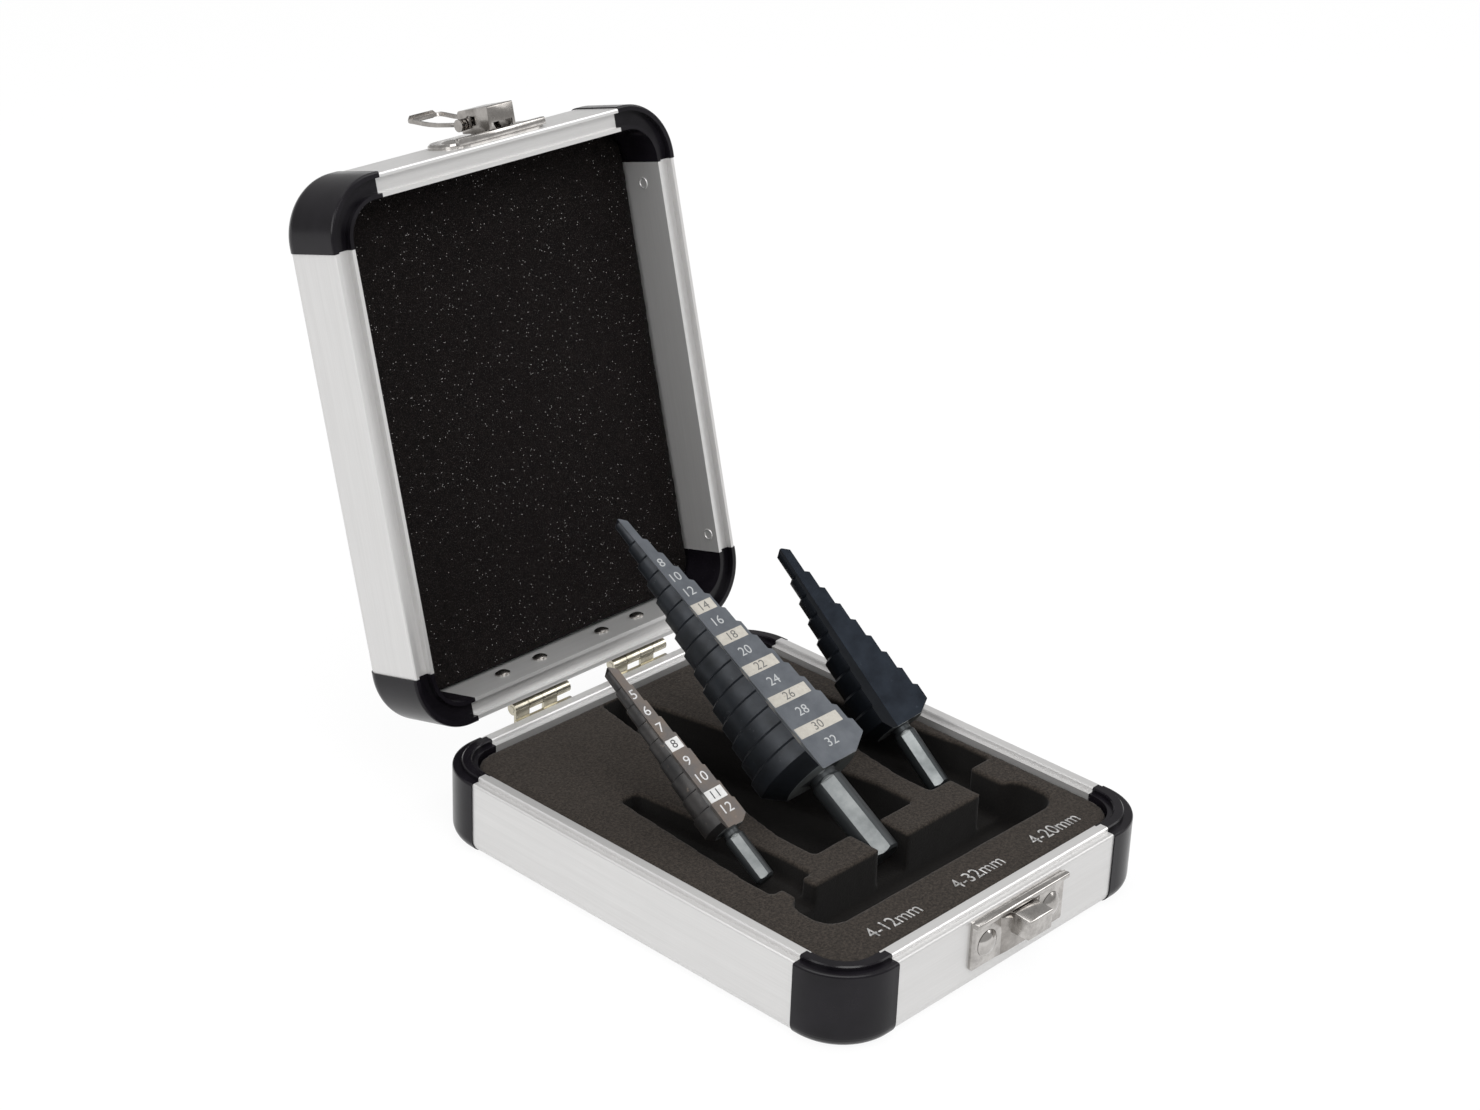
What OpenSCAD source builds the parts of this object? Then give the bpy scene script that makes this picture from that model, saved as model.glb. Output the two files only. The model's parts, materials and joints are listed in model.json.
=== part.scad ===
// Pocket drill bit case: two shallow trays of aluminium extrusion with black
// plastic corners, a foam insert with three step drills, two butt hinges
// and a lever latch with a bail. The lid stands open.

/* [Case] */
// Width of the case along the hinge
case_w = 114; // [104:1:160]
// Depth of the case from the latch side to the hinge side
case_d = 140; // [139:1:190]
// Height of the base from its underside to the rim ledge
base_h = 20; // [18:0.5:30]
// Height of the lid from its rim to its top
lid_h = 19.8; // [19.8:0.2:30]
// Gap between the closed rims
rim_gap = 0.2; // [0.1:0.05:0.6]
// Angle of the open lid from its closed position
lid_open = 104.4; // [95:0.2:108]

/* [Frame extrusion] */
// Overall thickness of the hollow wall
wall_t = 6; // [5.6:0.1:8]
// Thickness of the outer and inner skins
skin_t = 1.2; // [0.8:0.1:1.5]
// Radius of the outer bottom edge
edge_r = 4; // [2.5:0.5:4]
// Thickness of the lip under the panel
lip_t = 1; // [0.8:0.1:1.6]
// How far the lip reaches inwards from the outer face
lip_reach = 8; // [7:0.5:10]
// Depth of the panel channel from the outer face
channel_u = 4; // [3.5:0.1:4.5]
// Width of the outer ledge on the base rim
ledge_w = 2; // [1.9:0.1:2.4]
// Width of the tongue on the base rim
tongue_w = 2.6; // [1.8:0.1:2.6]
// Height of the tongue
tongue_h = 1.2; // [0.8:0.1:1.2]
// Width of the outer lip on the lid rim
outer_lip = 1.2; // [0.8:0.1:1.2]
// Clearance between the tongue and the groove's inner side
groove_clear = 0.4; // [0.3:0.05:0.8]
// Depth of the groove in the lid rim
groove_d = 1.8; // [1.6:0.1:2.4]

/* [Corners] */
// Outer radius of the corners seen from above
corner_r = 15; // [13:0.5:16]
// Length of a corner along the width
corner_x = 17.1; // [16.5:0.1:22]
// Length of a corner along the depth
corner_y = 16.3; // [16.2:0.1:22]
// How far the corners stand proud of the extrusions
corner_proud = 0.35; // [0.2:0.05:0.6]
// Length of the spigots inside the extrusions
spigot_l = 9; // [5:0.5:14]
// Clearance round the spigots
spigot_clear = 0.15; // [0.1:0.05:0.3]

/* [Panels and foam] */
// Thickness of the panels
panel_t = 2; // [1.5:0.1:3]
// Clearance between a panel and its channel
panel_clear = 0.05; // [0.05:0.01:0.2]
// Height of the foam insert's top above the underside of the base
foam_top = 18.8; // [18.4:0.1:19.6]
// Gap between the foam and the wall
foam_gap = 0.5; // [0.3:0.1:1]
// Depth of the lid sponge's face below the lid rim
sponge_depth = 12; // [11.8:0.1:14]

/* [Finger recess] */
// Left end of the finger recess from the middle
finger_x0 = -39; // [-41:0.5:-38]
// Right end of the finger recess from the middle
finger_x1 = 45; // [43:0.5:46]
// Distance of its front wall from the middle
finger_front = 48.9; // [48.9:0.1:52]
// Distance of its rear wall from the middle
finger_rear = 34; // [33.5:0.5:35]
// Height of its floor
finger_floor = 6; // [5:0.5:8]
// Radius of its corners
finger_r = 5.5; // [4:0.5:7]

/* [Hinges] */
// Distance of each hinge's middle from the middle of the case
hinge_x = 17.6; // [14:0.2:30]
// Length of a hinge
hinge_l = 19.4; // [16:0.2:24]
// Distance of the pin behind the rear face
hinge_out = 2; // [2:0.05:2.4]
// Height of the pin above the base ledge
hinge_up = 2.4; // [2.3:0.05:2.8]
// Outer radius of the knuckles
knuckle_r = 1.6; // [1.4:0.05:1.65]
// Radius of the hinge pin
hinge_pin_r = 0.85; // [0.6:0.05:0.9]
// Running clearance of each pin in its holes
pin_clear = 0.05; // [0.02:0.01:0.08]
// Gap between knuckles
knuckle_gap = 0.15; // [0.1:0.05:0.3]
// Thickness of a leaf
leaf_t = 0.8; // [0.6:0.05:0.8]
// Height of a leaf plate
leaf_h = 9; // [7:0.5:10]
// Distance between the rivets of a leaf
hinge_rivet_pitch = 13; // [10:0.5:14]

/* [Rivets] */
// Radius of the rivet shanks
rivet_r = 1; // [0.8:0.05:1.2]
// Radius of the hinge rivet heads
rivet_head_r = 1.9; // [1.6:0.1:2.2]
// Height of the hinge rivet heads
rivet_head_h = 0.6; // [0.4:0.1:1]
// Radius of the latch rivet heads
latch_head_r = 2.3; // [1.8:0.1:2.6]
// Radius of the strike rivet heads
strike_head_r = 3; // [2.4:0.1:3.2]
// Height of the strike rivet heads
strike_head_h = 1; // [0.6:0.1:1.4]

/* [Latch] */
// Distance of the latch from the middle of the case
latch_x = 2.5; // [-6:0.5:6]
// Length of the latch plate
latch_w = 33; // [31:0.5:36]
// Height of the latch plate
latch_h = 13.6; // [12.6:0.2:14]
// Height of its lower edge above the lid rim
latch_z = 2.4; // [1.6:0.1:3]
// Thickness of the embossed plate
latch_t = 1.25; // [1:0.05:1.4]
// Radius of the plate's ends
latch_end_r = 5.5; // [3.5:0.1:6]
// Distance between the plate's rivets
latch_rivet_pitch = 23.5; // [21:0.5:25]
// Height of the latch pin above the lid rim
pivot_z = 11.5; // [11.3:0.1:11.8]
// Distance of the latch pin in front of the face
pivot_y = 4.2; // [4.15:0.05:4.5]
// Radius of the latch pin
latch_pin_r = 0.95; // [0.9:0.05:1.3]
// Radius of the latch pin's heads
latch_pin_head_r = 1.6; // [1.5:0.1:2.2]
// Outer width of the lever
lever_w = 8.6; // [8:0.1:8.8]
// Wall thickness of the lever
lever_t = 0.8; // [0.6:0.05:0.9]
// Reach of the lever from the pin to its lip
lever_reach = 9.5; // [9:0.1:10.2]
// Height of the lever's front edge above the face
lever_top = 8.5; // [8:0.1:9]
// Radius of the lever's round tail about the pin
tail_r = 2.7; // [2.4:0.05:2.75]
// Height of the lever's front lip
lip_h = 3.8; // [3.4:0.1:4.2]
// Gap between ears, lever and bail
latch_gap = 0.3; // [0.2:0.05:0.4]
// Thickness of the ears and of the bail's arms
ear_t = 0.8; // [0.6:0.05:0.9]
// Width of the bail's arms
arm_w = 1.2; // [0.9:0.1:1.4]
// Thickness of the bail
bail_t = 1.4; // [1:0.1:1.6]
// Distance from the pin to the inner edge of the crossbar
bail_reach = 20.4; // [20.35:0.05:21]
// Width of the crossbar
bail_bar = 1.4; // [1:0.1:2]
// Outer width of the bail at its tip
bail_tip_w = 10.2; // [10.1:0.1:11.4]
// Angle at which the bail lies back from the plate
bail_rest = 3; // [2:0.5:8]

/* [Strike] */
// Length of the strike plate
strike_w = 34; // [32:0.5:36]
// Height of the strike plate
strike_h = 13.4; // [13:0.1:14]
// Distance of its upper edge below the base ledge
strike_drop = 0.7; // [0.5:0.1:1]
// Thickness of the strike plate
strike_t = 1.2; // [1:0.05:1.3]
// Distance between its rivets
strike_rivet_pitch = 23.6; // [22:0.2:25]
// Distance of the rivets below the base ledge
strike_rivet_drop = 8; // [6.5:0.1:8.5]
// How far the nose stands out of the face
nose_out = 6; // [5:0.1:6]
// Distance of the nose's top below the base ledge
nose_top = 3.2; // [2.8:0.1:4]
// Distance of the nose's underside below the base ledge
nose_bottom = 8.3; // [7.5:0.1:8.3]
// Width of the nose at its root
nose_w = 7.6; // [6.6:0.1:7.6]
// Radius of the nose's front edges
nose_r = 1.2; // [0.8:0.1:1.6]

/* [Large step drill] */
// Distance of the large drill from the middle
large_x = 0; // [-1:0.2:1]
// Overall length of the large drill
large_len = 110; // [109:0.5:110]
// Largest step of the large drill
large_max = 32; // [28:2:32]
// Shank diameter of the large drill
large_shank = 8.5; // [8:0.5:10]
// Length of its shank
large_shank_l = 25.5; // [25:0.5:28]
// Tilt of the raised large drill
large_tilt = 31.3; // [31:0.1:31.6]
// Turn of its flutes about its axis
large_turn = 0; // [-4:1:8]

/* [Medium step drill] */
// Distance of the medium drill from the middle
medium_x = 37; // [36.5:0.1:37.5]
// Overall length of the medium drill
medium_len = 74; // [73:0.5:74]
// Largest step of the medium drill
medium_max = 20; // [18:2:20]
// Shank diameter of the medium drill
medium_shank = 6; // [6:0.5:8]
// Length of its shank
medium_shank_l = 18.5; // [17.5:0.5:19]
// Tilt of the raised medium drill
medium_tilt = 38.9; // [38.5:0.1:39.2]
// Turn of its flutes about its axis
medium_turn = 20; // [10:1:24]

/* [Small step drill] */
// Distance of the small drill from the middle
small_x = -31.6; // [-32:0.1:-31]
// Overall length of the small drill
small_len = 65; // [64:0.5:65]
// Largest step of the small drill
small_max = 12; // [11:1:12]
// Shank diameter of the small drill
small_shank = 5; // [5:0.5:6]
// Length of its shank
small_shank_l = 15; // [14:0.5:16]
// Tilt of the raised small drill
small_tilt = 33; // [32.6:0.1:33.4]
// Turn of its flutes about its axis
small_turn = 4; // [0:1:10]

/* [Drill details] */
// Smallest step of each drill
first_d = 4; // [4:0.5:5]
// Length of each drill's point
point_l = 1.5; // [0.8:0.1:1.8]
// Half thickness of the web at the point
web_tip = 0.3; // [0.2:0.05:0.5]
// Opening angle of the flutes
flute_open = 132; // [124:2:136]
// Depth of the three shank flats as a share of the radius
flat_share = 0.1; // [0.1:0.02:0.24]

/* [Hidden] */
$fn = 48;
lid_z = base_h + rim_gap;          // closed lid rim
lid_top = lid_z + lid_h;
hy = case_d / 2 + hinge_out;       // hinge axis
hz = base_h + hinge_up;
channel_h = panel_t + 2 * panel_clear;
foot_z = lip_t + channel_h;        // underside of the inner skin
tongue_in = ledge_w + tongue_w;
groove_in = tongue_in + groove_clear;
chamber_z = foot_z + skin_t;
panel_inset = channel_u + 0.3;
panel_z = lip_t + panel_clear;
foam_z = panel_z + panel_t + panel_clear;
face_y = -case_d / 2;
rear_y = case_d / 2;
inner_x = case_w / 2 - wall_t - foam_gap;
inner_y = case_d / 2 - wall_t - foam_gap;
py = face_y - pivot_y;             // latch pin, closed lid
pz = lid_z + pivot_z;
strike_z = base_h - strike_drop - strike_h;
rivet_z = base_h - strike_rivet_drop;
base_leaf_top = base_h - 0.2;
base_rivet_z = base_leaf_top - leaf_h / 2;
lid_leaf_low = hz + knuckle_r + 0.3;
lid_rivet_z = lid_leaf_low + leaf_h / 2 - 1.4;
pitch = hinge_l / 4;
hinge_bore = hinge_pin_r + pin_clear;
latch_bore = latch_pin_r + pin_clear;
lever_in = lever_w / 2 - lever_t;
ear_x = lever_in - 0.2 - ear_t;    // inner face of an ear
ear_r = tail_r - lever_t - 0.1;    // turns inside the lever's skin
arm_x = lever_w / 2 + latch_gap;   // inner face of a bail arm
// stored and raised places of the drills' shank ends, [y, z]
large_end = [-48.3, 17];
medium_end = [-39, 16.6];
small_end = [-41.3, 17.9];
large_up = [-31.79, 13.75];
medium_up = [-17.89, 12.23];
small_up = [-21.71, 16];
recess_clear = 2;                  // beside the large drill's steps
function arc(c, r, a, b, n) =
  [for (i = [0:n]) c + r * [cos(a + (b - a) * i / n), sin(a + (b - a) * i / n)]];
function step_count(big, step) = (big - first_d) / step + 1;
// Share of a step by which the widest and the narrowest step are longer
function wide_more(big) = big > 26 ? 0.45 : 0.15;
function tip_more(big) = big > 15 ? 0.35 : 0;
function step_len(len, shank_l, big, step) =
  (len - shank_l - point_l) / (step_count(big, step) + wide_more(big) + tip_more(big));

// Everything on the lid is drawn closed and then opened about the hinge pin.
module opened() {
  translate([0, hy, hz]) rotate([-lid_open, 0, 0]) translate([0, -hy, -hz]) children();
}
module rounded(x, y, r) {
  square([2 * x, 2 * (y - r)], center = true);
  square([2 * (x - r), 2 * y], center = true);
  for (i = [-1, 1], j = [-1, 1]) translate([i * (x - r), j * (y - r)]) circle(r);
}

// Wall profile: first coordinate inwards from the face, second up from the
// outer edge. The base ends in a tongue and the lid in a groove.
function wall_side(h, proud) = concat(
  arc([edge_r - proud, edge_r], edge_r, 180, 270, 8),
  [[lip_reach, 0], [lip_reach, lip_t], [channel_u, lip_t], [channel_u, foot_z],
   [wall_t, foot_z], [wall_t, h]]);
function tongue_rim(h, proud) = [[tongue_in, h], [tongue_in, h + tongue_h - 0.3],
  [tongue_in - 0.3, h + tongue_h], [ledge_w + 0.3, h + tongue_h],
  [ledge_w, h + tongue_h - 0.3], [ledge_w, h],
  [0.5 - proud, h], [0.15 - proud, h - 0.15], [-proud, h - 0.5]];
function groove_rim(h, proud) = [[groove_in, h], [groove_in, h - groove_d],
  [outer_lip, h - groove_d], [outer_lip, h],
  [0.5 - proud, h], [0.15 - proud, h - 0.15], [-proud, h - 0.5]];
module wall_2d(h, grooved, proud) {
  polygon(concat(wall_side(h, proud), grooved ? groove_rim(h, proud) : tongue_rim(h, proud)));
}
function chamber_top(h, grooved) = h - (grooved ? groove_d : 0) - skin_t;
module chamber_2d(h, grooved, gap) {
  translate([skin_t + gap, chamber_z + gap])
    square([wall_t - 2 * skin_t - 2 * gap, chamber_top(h, grooved) - chamber_z - 2 * gap]);
}
// One hollow extrusion along X, its outer face at -half
module extrusion(len, half, h, grooved) {
  translate([-len / 2, -half, 0]) rotate([90, 0, 90]) linear_extrude(len)
    difference() {
      wall_2d(h, grooved, 0);
      chamber_2d(h, grooved, 0);
    }
}
front_len = case_w - 2 * corner_x;
side_len = case_d - 2 * corner_y;
// Front left corner with a spigot for each extrusion that it joins
module corner(h, grooved) {
  cx = -case_w / 2 + corner_r;
  cy = -case_d / 2 + corner_r;
  translate([cx, cy, 0]) rotate([0, 0, 180]) rotate_extrude(angle = 90, $fn = 96)
    translate([corner_r, 0]) mirror([1, 0]) wall_2d(h, grooved, corner_proud);
  translate([cx, face_y, 0]) rotate([90, 0, 90]) linear_extrude(corner_x - corner_r)
    wall_2d(h, grooved, corner_proud);
  translate([-case_w / 2, cy + corner_y - corner_r, 0]) rotate([90, 0, 0])
    linear_extrude(corner_y - corner_r) wall_2d(h, grooved, corner_proud);
  translate([-case_w / 2 + corner_x - 0.5, face_y, 0]) rotate([90, 0, 90])
    linear_extrude(spigot_l + 0.5) chamber_2d(h, grooved, spigot_clear);
  translate([-case_w / 2, face_y + corner_y + spigot_l, 0]) rotate([90, 0, 0])
    linear_extrude(spigot_l + 0.5) chamber_2d(h, grooved, spigot_clear);
}
module to_right() { mirror([1, 0, 0]) children(); }
module to_rear() { mirror([0, 1, 0]) children(); }
module upturned() { translate([0, 0, lid_top]) mirror([0, 0, 1]) children(); }
// Panel with a rebated edge in the channel, its outer field flush with the lips
module panel() {
  field = lip_reach + 0.3;
  translate([0, 0, panel_z]) linear_extrude(panel_t)
    rounded(case_w / 2 - panel_inset, case_d / 2 - panel_inset, corner_r - panel_inset);
  linear_extrude(panel_z + panel_t / 2)
    rounded(case_w / 2 - field, case_d / 2 - field, corner_r - field);
}
// Holes of rivets that run along Y through a wall
module wall_holes(x, pitch_x, z) {
  for (i = [-1, 1]) translate([x + i * pitch_x / 2, face_y - 3, z]) rotate([-90, 0, 0])
    cylinder(h = wall_t + 4, r = rivet_r + 0.05);
}
module hinge_holes(z) {
  for (i = [-1, 1]) to_rear() wall_holes(i * hinge_x, hinge_rivet_pitch, z);
}

// Base
module base_panel() { color("#b9bbbd") panel(); }
module base_front_extrusion() {
  color("#c9cacc") difference() {
    extrusion(front_len, case_d / 2, base_h, false);
    wall_holes(latch_x, strike_rivet_pitch, rivet_z);
  }
}
module base_rear_extrusion() {
  color("#c9cacc") difference() {
    to_rear() extrusion(front_len, case_d / 2, base_h, false);
    hinge_holes(base_rivet_z);
  }
}
module base_left_extrusion() {
  color("#c9cacc") rotate([0, 0, -90]) extrusion(side_len, case_w / 2, base_h, false);
}
module base_right_extrusion() { to_right() base_left_extrusion(); }
module base_corner_front_left() { color("#222124") corner(base_h, false); }
module base_corner_front_right() { to_right() base_corner_front_left(); }
module base_corner_rear_left() { to_rear() base_corner_front_left(); }
module base_corner_rear_right() { to_rear() to_right() base_corner_front_left(); }

// Foam insert: one recess per drill, a slot for each shank and one long
// finger recess across the shank ends
large_floor = large_end[1] - large_max / 2 * 0.78 - 0.35;
medium_floor = medium_end[1] - medium_max / 2 * 0.74 - 0.4;
small_floor = small_end[1] - small_max / 2 * 0.74 - 0.4;
module recess(x, end, len, shank_l, big, front, back, clear, floor_z) {
  y0 = end[0] + shank_l + (len - shank_l) * 0.12;
  y1 = min(back, end[0] + len + 1.1);
  w1 = first_d / 2 + clear;
  translate([x, 0, floor_z]) linear_extrude(base_h) polygon([
    [-big / 2 - clear, front], [big / 2 + clear, front], [big / 2 + clear, y0],
    [w1, y1], [-w1, y1], [-big / 2 - clear, y0]]);
}
module slot(x, shank, back, floor_z) {
  translate([x - shank / 2 - 1, -finger_rear - 1, floor_z])
    cube([shank + 2, back + finger_rear + 1, base_h]);
}
module foam_insert() {
  fx = (finger_x1 - finger_x0) / 2;
  fy = (finger_front - finger_rear) / 2;
  color("#3a3632") difference() {
    translate([0, 0, foam_z]) linear_extrude(foam_top - foam_z)
      rounded(inner_x, inner_y, corner_r - wall_t - foam_gap);
    translate([(finger_x0 + finger_x1) / 2, -(finger_front + finger_rear) / 2, finger_floor])
      linear_extrude(base_h) rounded(fx, fy, min(finger_r, fy - 0.5));
    recess(large_x, large_end, large_len, large_shank_l, large_max, -24.5,
      case_d, recess_clear, large_floor);
    recess(medium_x, medium_end, medium_len, medium_shank_l, medium_max, -24,
      40, 1.7, medium_floor);
    recess(small_x, small_end, small_len, small_shank_l, small_max, -29.8,
      40, 0.8, small_floor);
    slot(large_x, large_shank, -24, large_end[1] - large_shank / 2 - 4.4);
    slot(medium_x, medium_shank, -16.5, medium_end[1] - medium_shank / 2 - 5.5);
    slot(small_x, small_shank, -22, small_end[1] - small_shank / 2 - 3);
  }
}

// Strike: a bevelled plate with a pressed nose for the bail
module plate_2d(w, h, r) { rounded(w / 2, h / 2, r); }
module bevelled(w, h, r, t) {
  hull() {
    linear_extrude(t - 0.5) plate_2d(w, h, r);
    linear_extrude(t) plate_2d(w - 1.1, h - 1.1, r - 0.5);
  }
}
// Turns a plate drawn in XY, thickness along Z, onto the front face
module on_front(z) { translate([latch_x, face_y, z]) rotate([90, 0, 0]) children(); }
module strike_plate() {
  zc = strike_z + strike_h / 2;
  nt = base_h - nose_top - zc;
  nb = base_h - nose_bottom - zc;
  color("#bdbcb8") on_front(zc) difference() {
    union() {
      bevelled(strike_w, strike_h, 1.2, strike_t, $fn = 32);
      hull() {
        translate([-nose_w / 2, nb, 0.2]) cube([nose_w, nt - nb, strike_t - 0.2]);
        for (i = [-1, 1], j = [nb + nose_r, nt - nose_r])
          translate([i * (nose_w / 2 - 0.4 - nose_r), j, nose_out - nose_r])
            sphere(nose_r, $fn = 24);
      }
    }
    for (i = [-1, 1]) translate([i * strike_rivet_pitch / 2, rivet_z - zc, -1])
      cylinder(h = strike_t + 2, r = rivet_r + 0.05);
  }
}
// Rivet along Y through a wall: y0 is the seat of the outer head
module rivet(x, z, y0, y1, head_r, head_h) {
  translate([x, y0, z]) rotate([-90, 0, 0]) {
    cylinder(h = y1 - y0, r = rivet_r);
    dome(head_r, head_h);
    translate([0, 0, y1 - y0]) cylinder(h = foam_gap - 0.1, r = rivet_head_r);
  }
}
// Domed head below the origin, its seat at z = 0
module dome(r, h) {
  big = (r * r + h * h) / (2 * h);
  a = asin(r / big);
  rotate_extrude() polygon(concat([[0, 0]], [[r, 0]],
    [for (i = [1:6]) [big * sin(a * (1 - i / 6)), -h + big - big * cos(a * (1 - i / 6))]]));
}
module strike_rivets() {
  color("#c9c8c4") for (i = [-1, 1])
    rivet(latch_x + i * strike_rivet_pitch / 2, rivet_z, face_y - strike_t,
      face_y + wall_t, strike_head_r, strike_head_h);
}

// Hinges
module knuckle(i) {
  translate([-hinge_l / 2 + i * pitch + knuckle_gap / 2, 0, 0]) rotate([90, 0, 90])
    linear_extrude(pitch - knuckle_gap) children();
}
module base_leaf(s) {
  color("#cfc5a5") translate([s * hinge_x, 0, 0]) difference() {
    union() {
      translate([-hinge_l / 2, rear_y, base_leaf_top - leaf_h])
        cube([hinge_l, leaf_t, leaf_h]);
      for (i = [0, 2]) knuckle(i) {
        translate([hy, hz]) circle(knuckle_r);
        translate([hy - knuckle_r, base_leaf_top - 1]) square([leaf_t, hz - base_leaf_top + 1]);
        translate([rear_y + 0.2, base_leaf_top - 1]) square([hy - knuckle_r - rear_y, 1]);
      }
    }
    translate([-hinge_l, hy, hz]) rotate([0, 90, 0]) cylinder(h = 2 * hinge_l, r = hinge_bore);
    for (j = [-1, 1]) translate([j * hinge_rivet_pitch / 2, rear_y - 1, base_rivet_z])
      rotate([-90, 0, 0]) cylinder(h = 4, r = rivet_r + 0.05);
  }
}
module lid_leaf(s) {
  color("#cfc5a5") opened() translate([s * hinge_x, 0, 0]) difference() {
    union() {
      translate([-hinge_l / 2, rear_y, lid_leaf_low]) cube([hinge_l, leaf_t, leaf_h]);
      for (i = [1, 3]) knuckle(i) {
        translate([hy, hz]) circle(knuckle_r);
        translate([hy - knuckle_r, hz]) square([leaf_t, lid_leaf_low + 1 - hz]);
        translate([rear_y + 0.2, lid_leaf_low]) square([hy - knuckle_r - rear_y, 1]);
      }
    }
    translate([-hinge_l, hy, hz]) rotate([0, 90, 0]) cylinder(h = 2 * hinge_l, r = hinge_bore);
    for (j = [-1, 1]) translate([j * hinge_rivet_pitch / 2, rear_y - 1, lid_rivet_z])
      rotate([-90, 0, 0]) cylinder(h = 4, r = rivet_r + 0.05);
  }
}
module hinge_pin(s) {
  color("#b8ae90") translate([s * hinge_x - hinge_l / 2, hy, hz]) rotate([0, 90, 0])
    cylinder(h = hinge_l, r = hinge_pin_r);
}
module hinge_left_base_leaf() { base_leaf(-1); }
module hinge_right_base_leaf() { base_leaf(1); }
module hinge_left_lid_leaf() { lid_leaf(-1); }
module hinge_right_lid_leaf() { lid_leaf(1); }
module hinge_left_pin() { hinge_pin(-1); }
module hinge_right_pin() { hinge_pin(1); }
module hinge_rivets(z) {
  for (s = [-1, 1], j = [-1, 1]) to_rear()
    rivet(s * hinge_x + j * hinge_rivet_pitch / 2, z, face_y - leaf_t,
      face_y + wall_t, rivet_head_r, rivet_head_h);
}
module hinge_rivets_base() { color("#d2c8a8") hinge_rivets(base_rivet_z); }
module hinge_rivets_lid() { color("#d2c8a8") opened() hinge_rivets(lid_rivet_z); }

// Lid
module lid_panel() { color("#b9bbbd") opened() upturned() panel(); }
module lid_front_extrusion() {
  color("#c9cacc") opened() difference() {
    upturned() extrusion(front_len, case_d / 2, lid_h, true);
    wall_holes(latch_x, latch_rivet_pitch, lid_z + latch_z + latch_h / 2);
  }
}
module lid_rear_extrusion() {
  color("#c9cacc") opened() difference() {
    upturned() to_rear() extrusion(front_len, case_d / 2, lid_h, true);
    hinge_holes(lid_rivet_z);
  }
}
module lid_side() { upturned() rotate([0, 0, -90]) extrusion(side_len, case_w / 2, lid_h, true); }
module lid_left_extrusion() { color("#c9cacc") opened() lid_side(); }
module lid_right_extrusion() { color("#c9cacc") opened() to_right() lid_side(); }
module lid_corner() { upturned() corner(lid_h, true); }
module lid_corner_front_left() { color("#222124") opened() lid_corner(); }
module lid_corner_front_right() { color("#222124") opened() to_right() lid_corner(); }
module lid_corner_rear_left() { color("#222124") opened() to_rear() lid_corner(); }
module lid_corner_rear_right() { color("#222124") opened() to_rear() to_right() lid_corner(); }
module lid_sponge() {
  color("#171517") opened() translate([0, 0, lid_z + sponge_depth])
    linear_extrude(lid_h - sponge_depth - foam_z)
    rounded(inner_x, inner_y, corner_r - wall_t - foam_gap);
}

// Latch
module along_x(r, x0, x1) {
  translate([x0, 0, 0]) rotate([0, 90, 0]) cylinder(h = x1 - x0, r = r);
}
// Origin on the latch pin: X along the pin, Y into the lid, Z to its top
module at_pin() { opened() translate([latch_x, py, pz]) children(); }
module latch_plate() {
  zc = latch_z + latch_h / 2;
  color("#bdbcb8") opened() difference() {
    union() {
      on_front(lid_z + zc) bevelled(latch_w, latch_h, latch_end_r, latch_t, $fn = 32);
      for (s = [-1, 1]) translate([latch_x + (s < 0 ? -ear_x - ear_t : ear_x), py, pz])
        rotate([90, 0, 90]) linear_extrude(ear_t) {
          circle(ear_r);
          polygon([[-ear_r * 0.3, -ear_r * 0.94], [ear_r * 0.97, -ear_r * 0.22],
            [pivot_y - latch_t + 0.3, -0.7], [pivot_y - latch_t + 0.3, -4.5]]);
        }
    }
    translate([latch_x, py, pz]) along_x(latch_bore, -latch_w, latch_w);
    wall_holes(latch_x, latch_rivet_pitch, lid_z + zc);
  }
}
module latch_rivets() {
  color("#c9c8c4") opened() for (i = [-1, 1])
    rivet(latch_x + i * latch_rivet_pitch / 2, lid_z + latch_z + latch_h / 2,
      face_y - latch_t, face_y + wall_t, latch_head_r, 0.5);
}
pin_half = arm_x + arm_w + 0.1;
module latch_pin() {
  color("#c9c8c4") at_pin() {
    along_x(latch_pin_r, -pin_half - 0.5, pin_half + 0.5);
    along_x(latch_pin_head_r, pin_half, pin_half + 0.5);
    along_x(latch_pin_head_r, -pin_half - 0.5, -pin_half);
  }
}
// Side view of the lever, first coordinate into the lid, second upwards
lever_lip = -lever_top + pivot_y;
lever_low = pivot_y - latch_t - 0.55;
function lever_side() = concat(
  [[lever_low - 0.8, -lever_reach], [lever_lip + 0.5, -lever_reach],
   [lever_lip + 0.15, -lever_reach + 0.15], [lever_lip, -lever_reach + 0.5],
   [lever_lip + 0.15, -lever_reach + 5]],
  arc([0, 0], tail_r, 170, 0, 10),
  [[min(tail_r, lever_low), 0], [min(tail_r, lever_low), -lever_reach + 1.9],
   [lever_low - 0.8, -lever_reach + 1.1]]);
module lever_slab(x0, x1) {
  translate([x0, 0, 0]) rotate([90, 0, 90]) linear_extrude(x1 - x0) children();
}
module latch_lever() {
  color("#c4c3bf") at_pin() difference() {
    lever_slab(-lever_w / 2, lever_w / 2) polygon(lever_side());
    // open underside between the side walls
    lever_slab(-lever_in, lever_in) polygon(concat(
      [[10, -lever_reach - 1], [lever_lip + lip_h, -lever_reach - 1],
       [lever_lip + lip_h, -lever_reach + lever_t],
       [lever_lip + lever_t, -lever_reach + lever_t],
       [lever_lip + lever_t + 0.15, -lever_reach + 5]],
      arc([0, 0], tail_r - lever_t, 170, 90, 6), [[0, 10], [10, 10]]));
    // windows in the side walls
    translate([-lever_w, -1.3, -3.9]) cube([2 * lever_w, 2.1, 2]);
    along_x(latch_bore, -lever_w, lever_w);
  }
}
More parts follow.
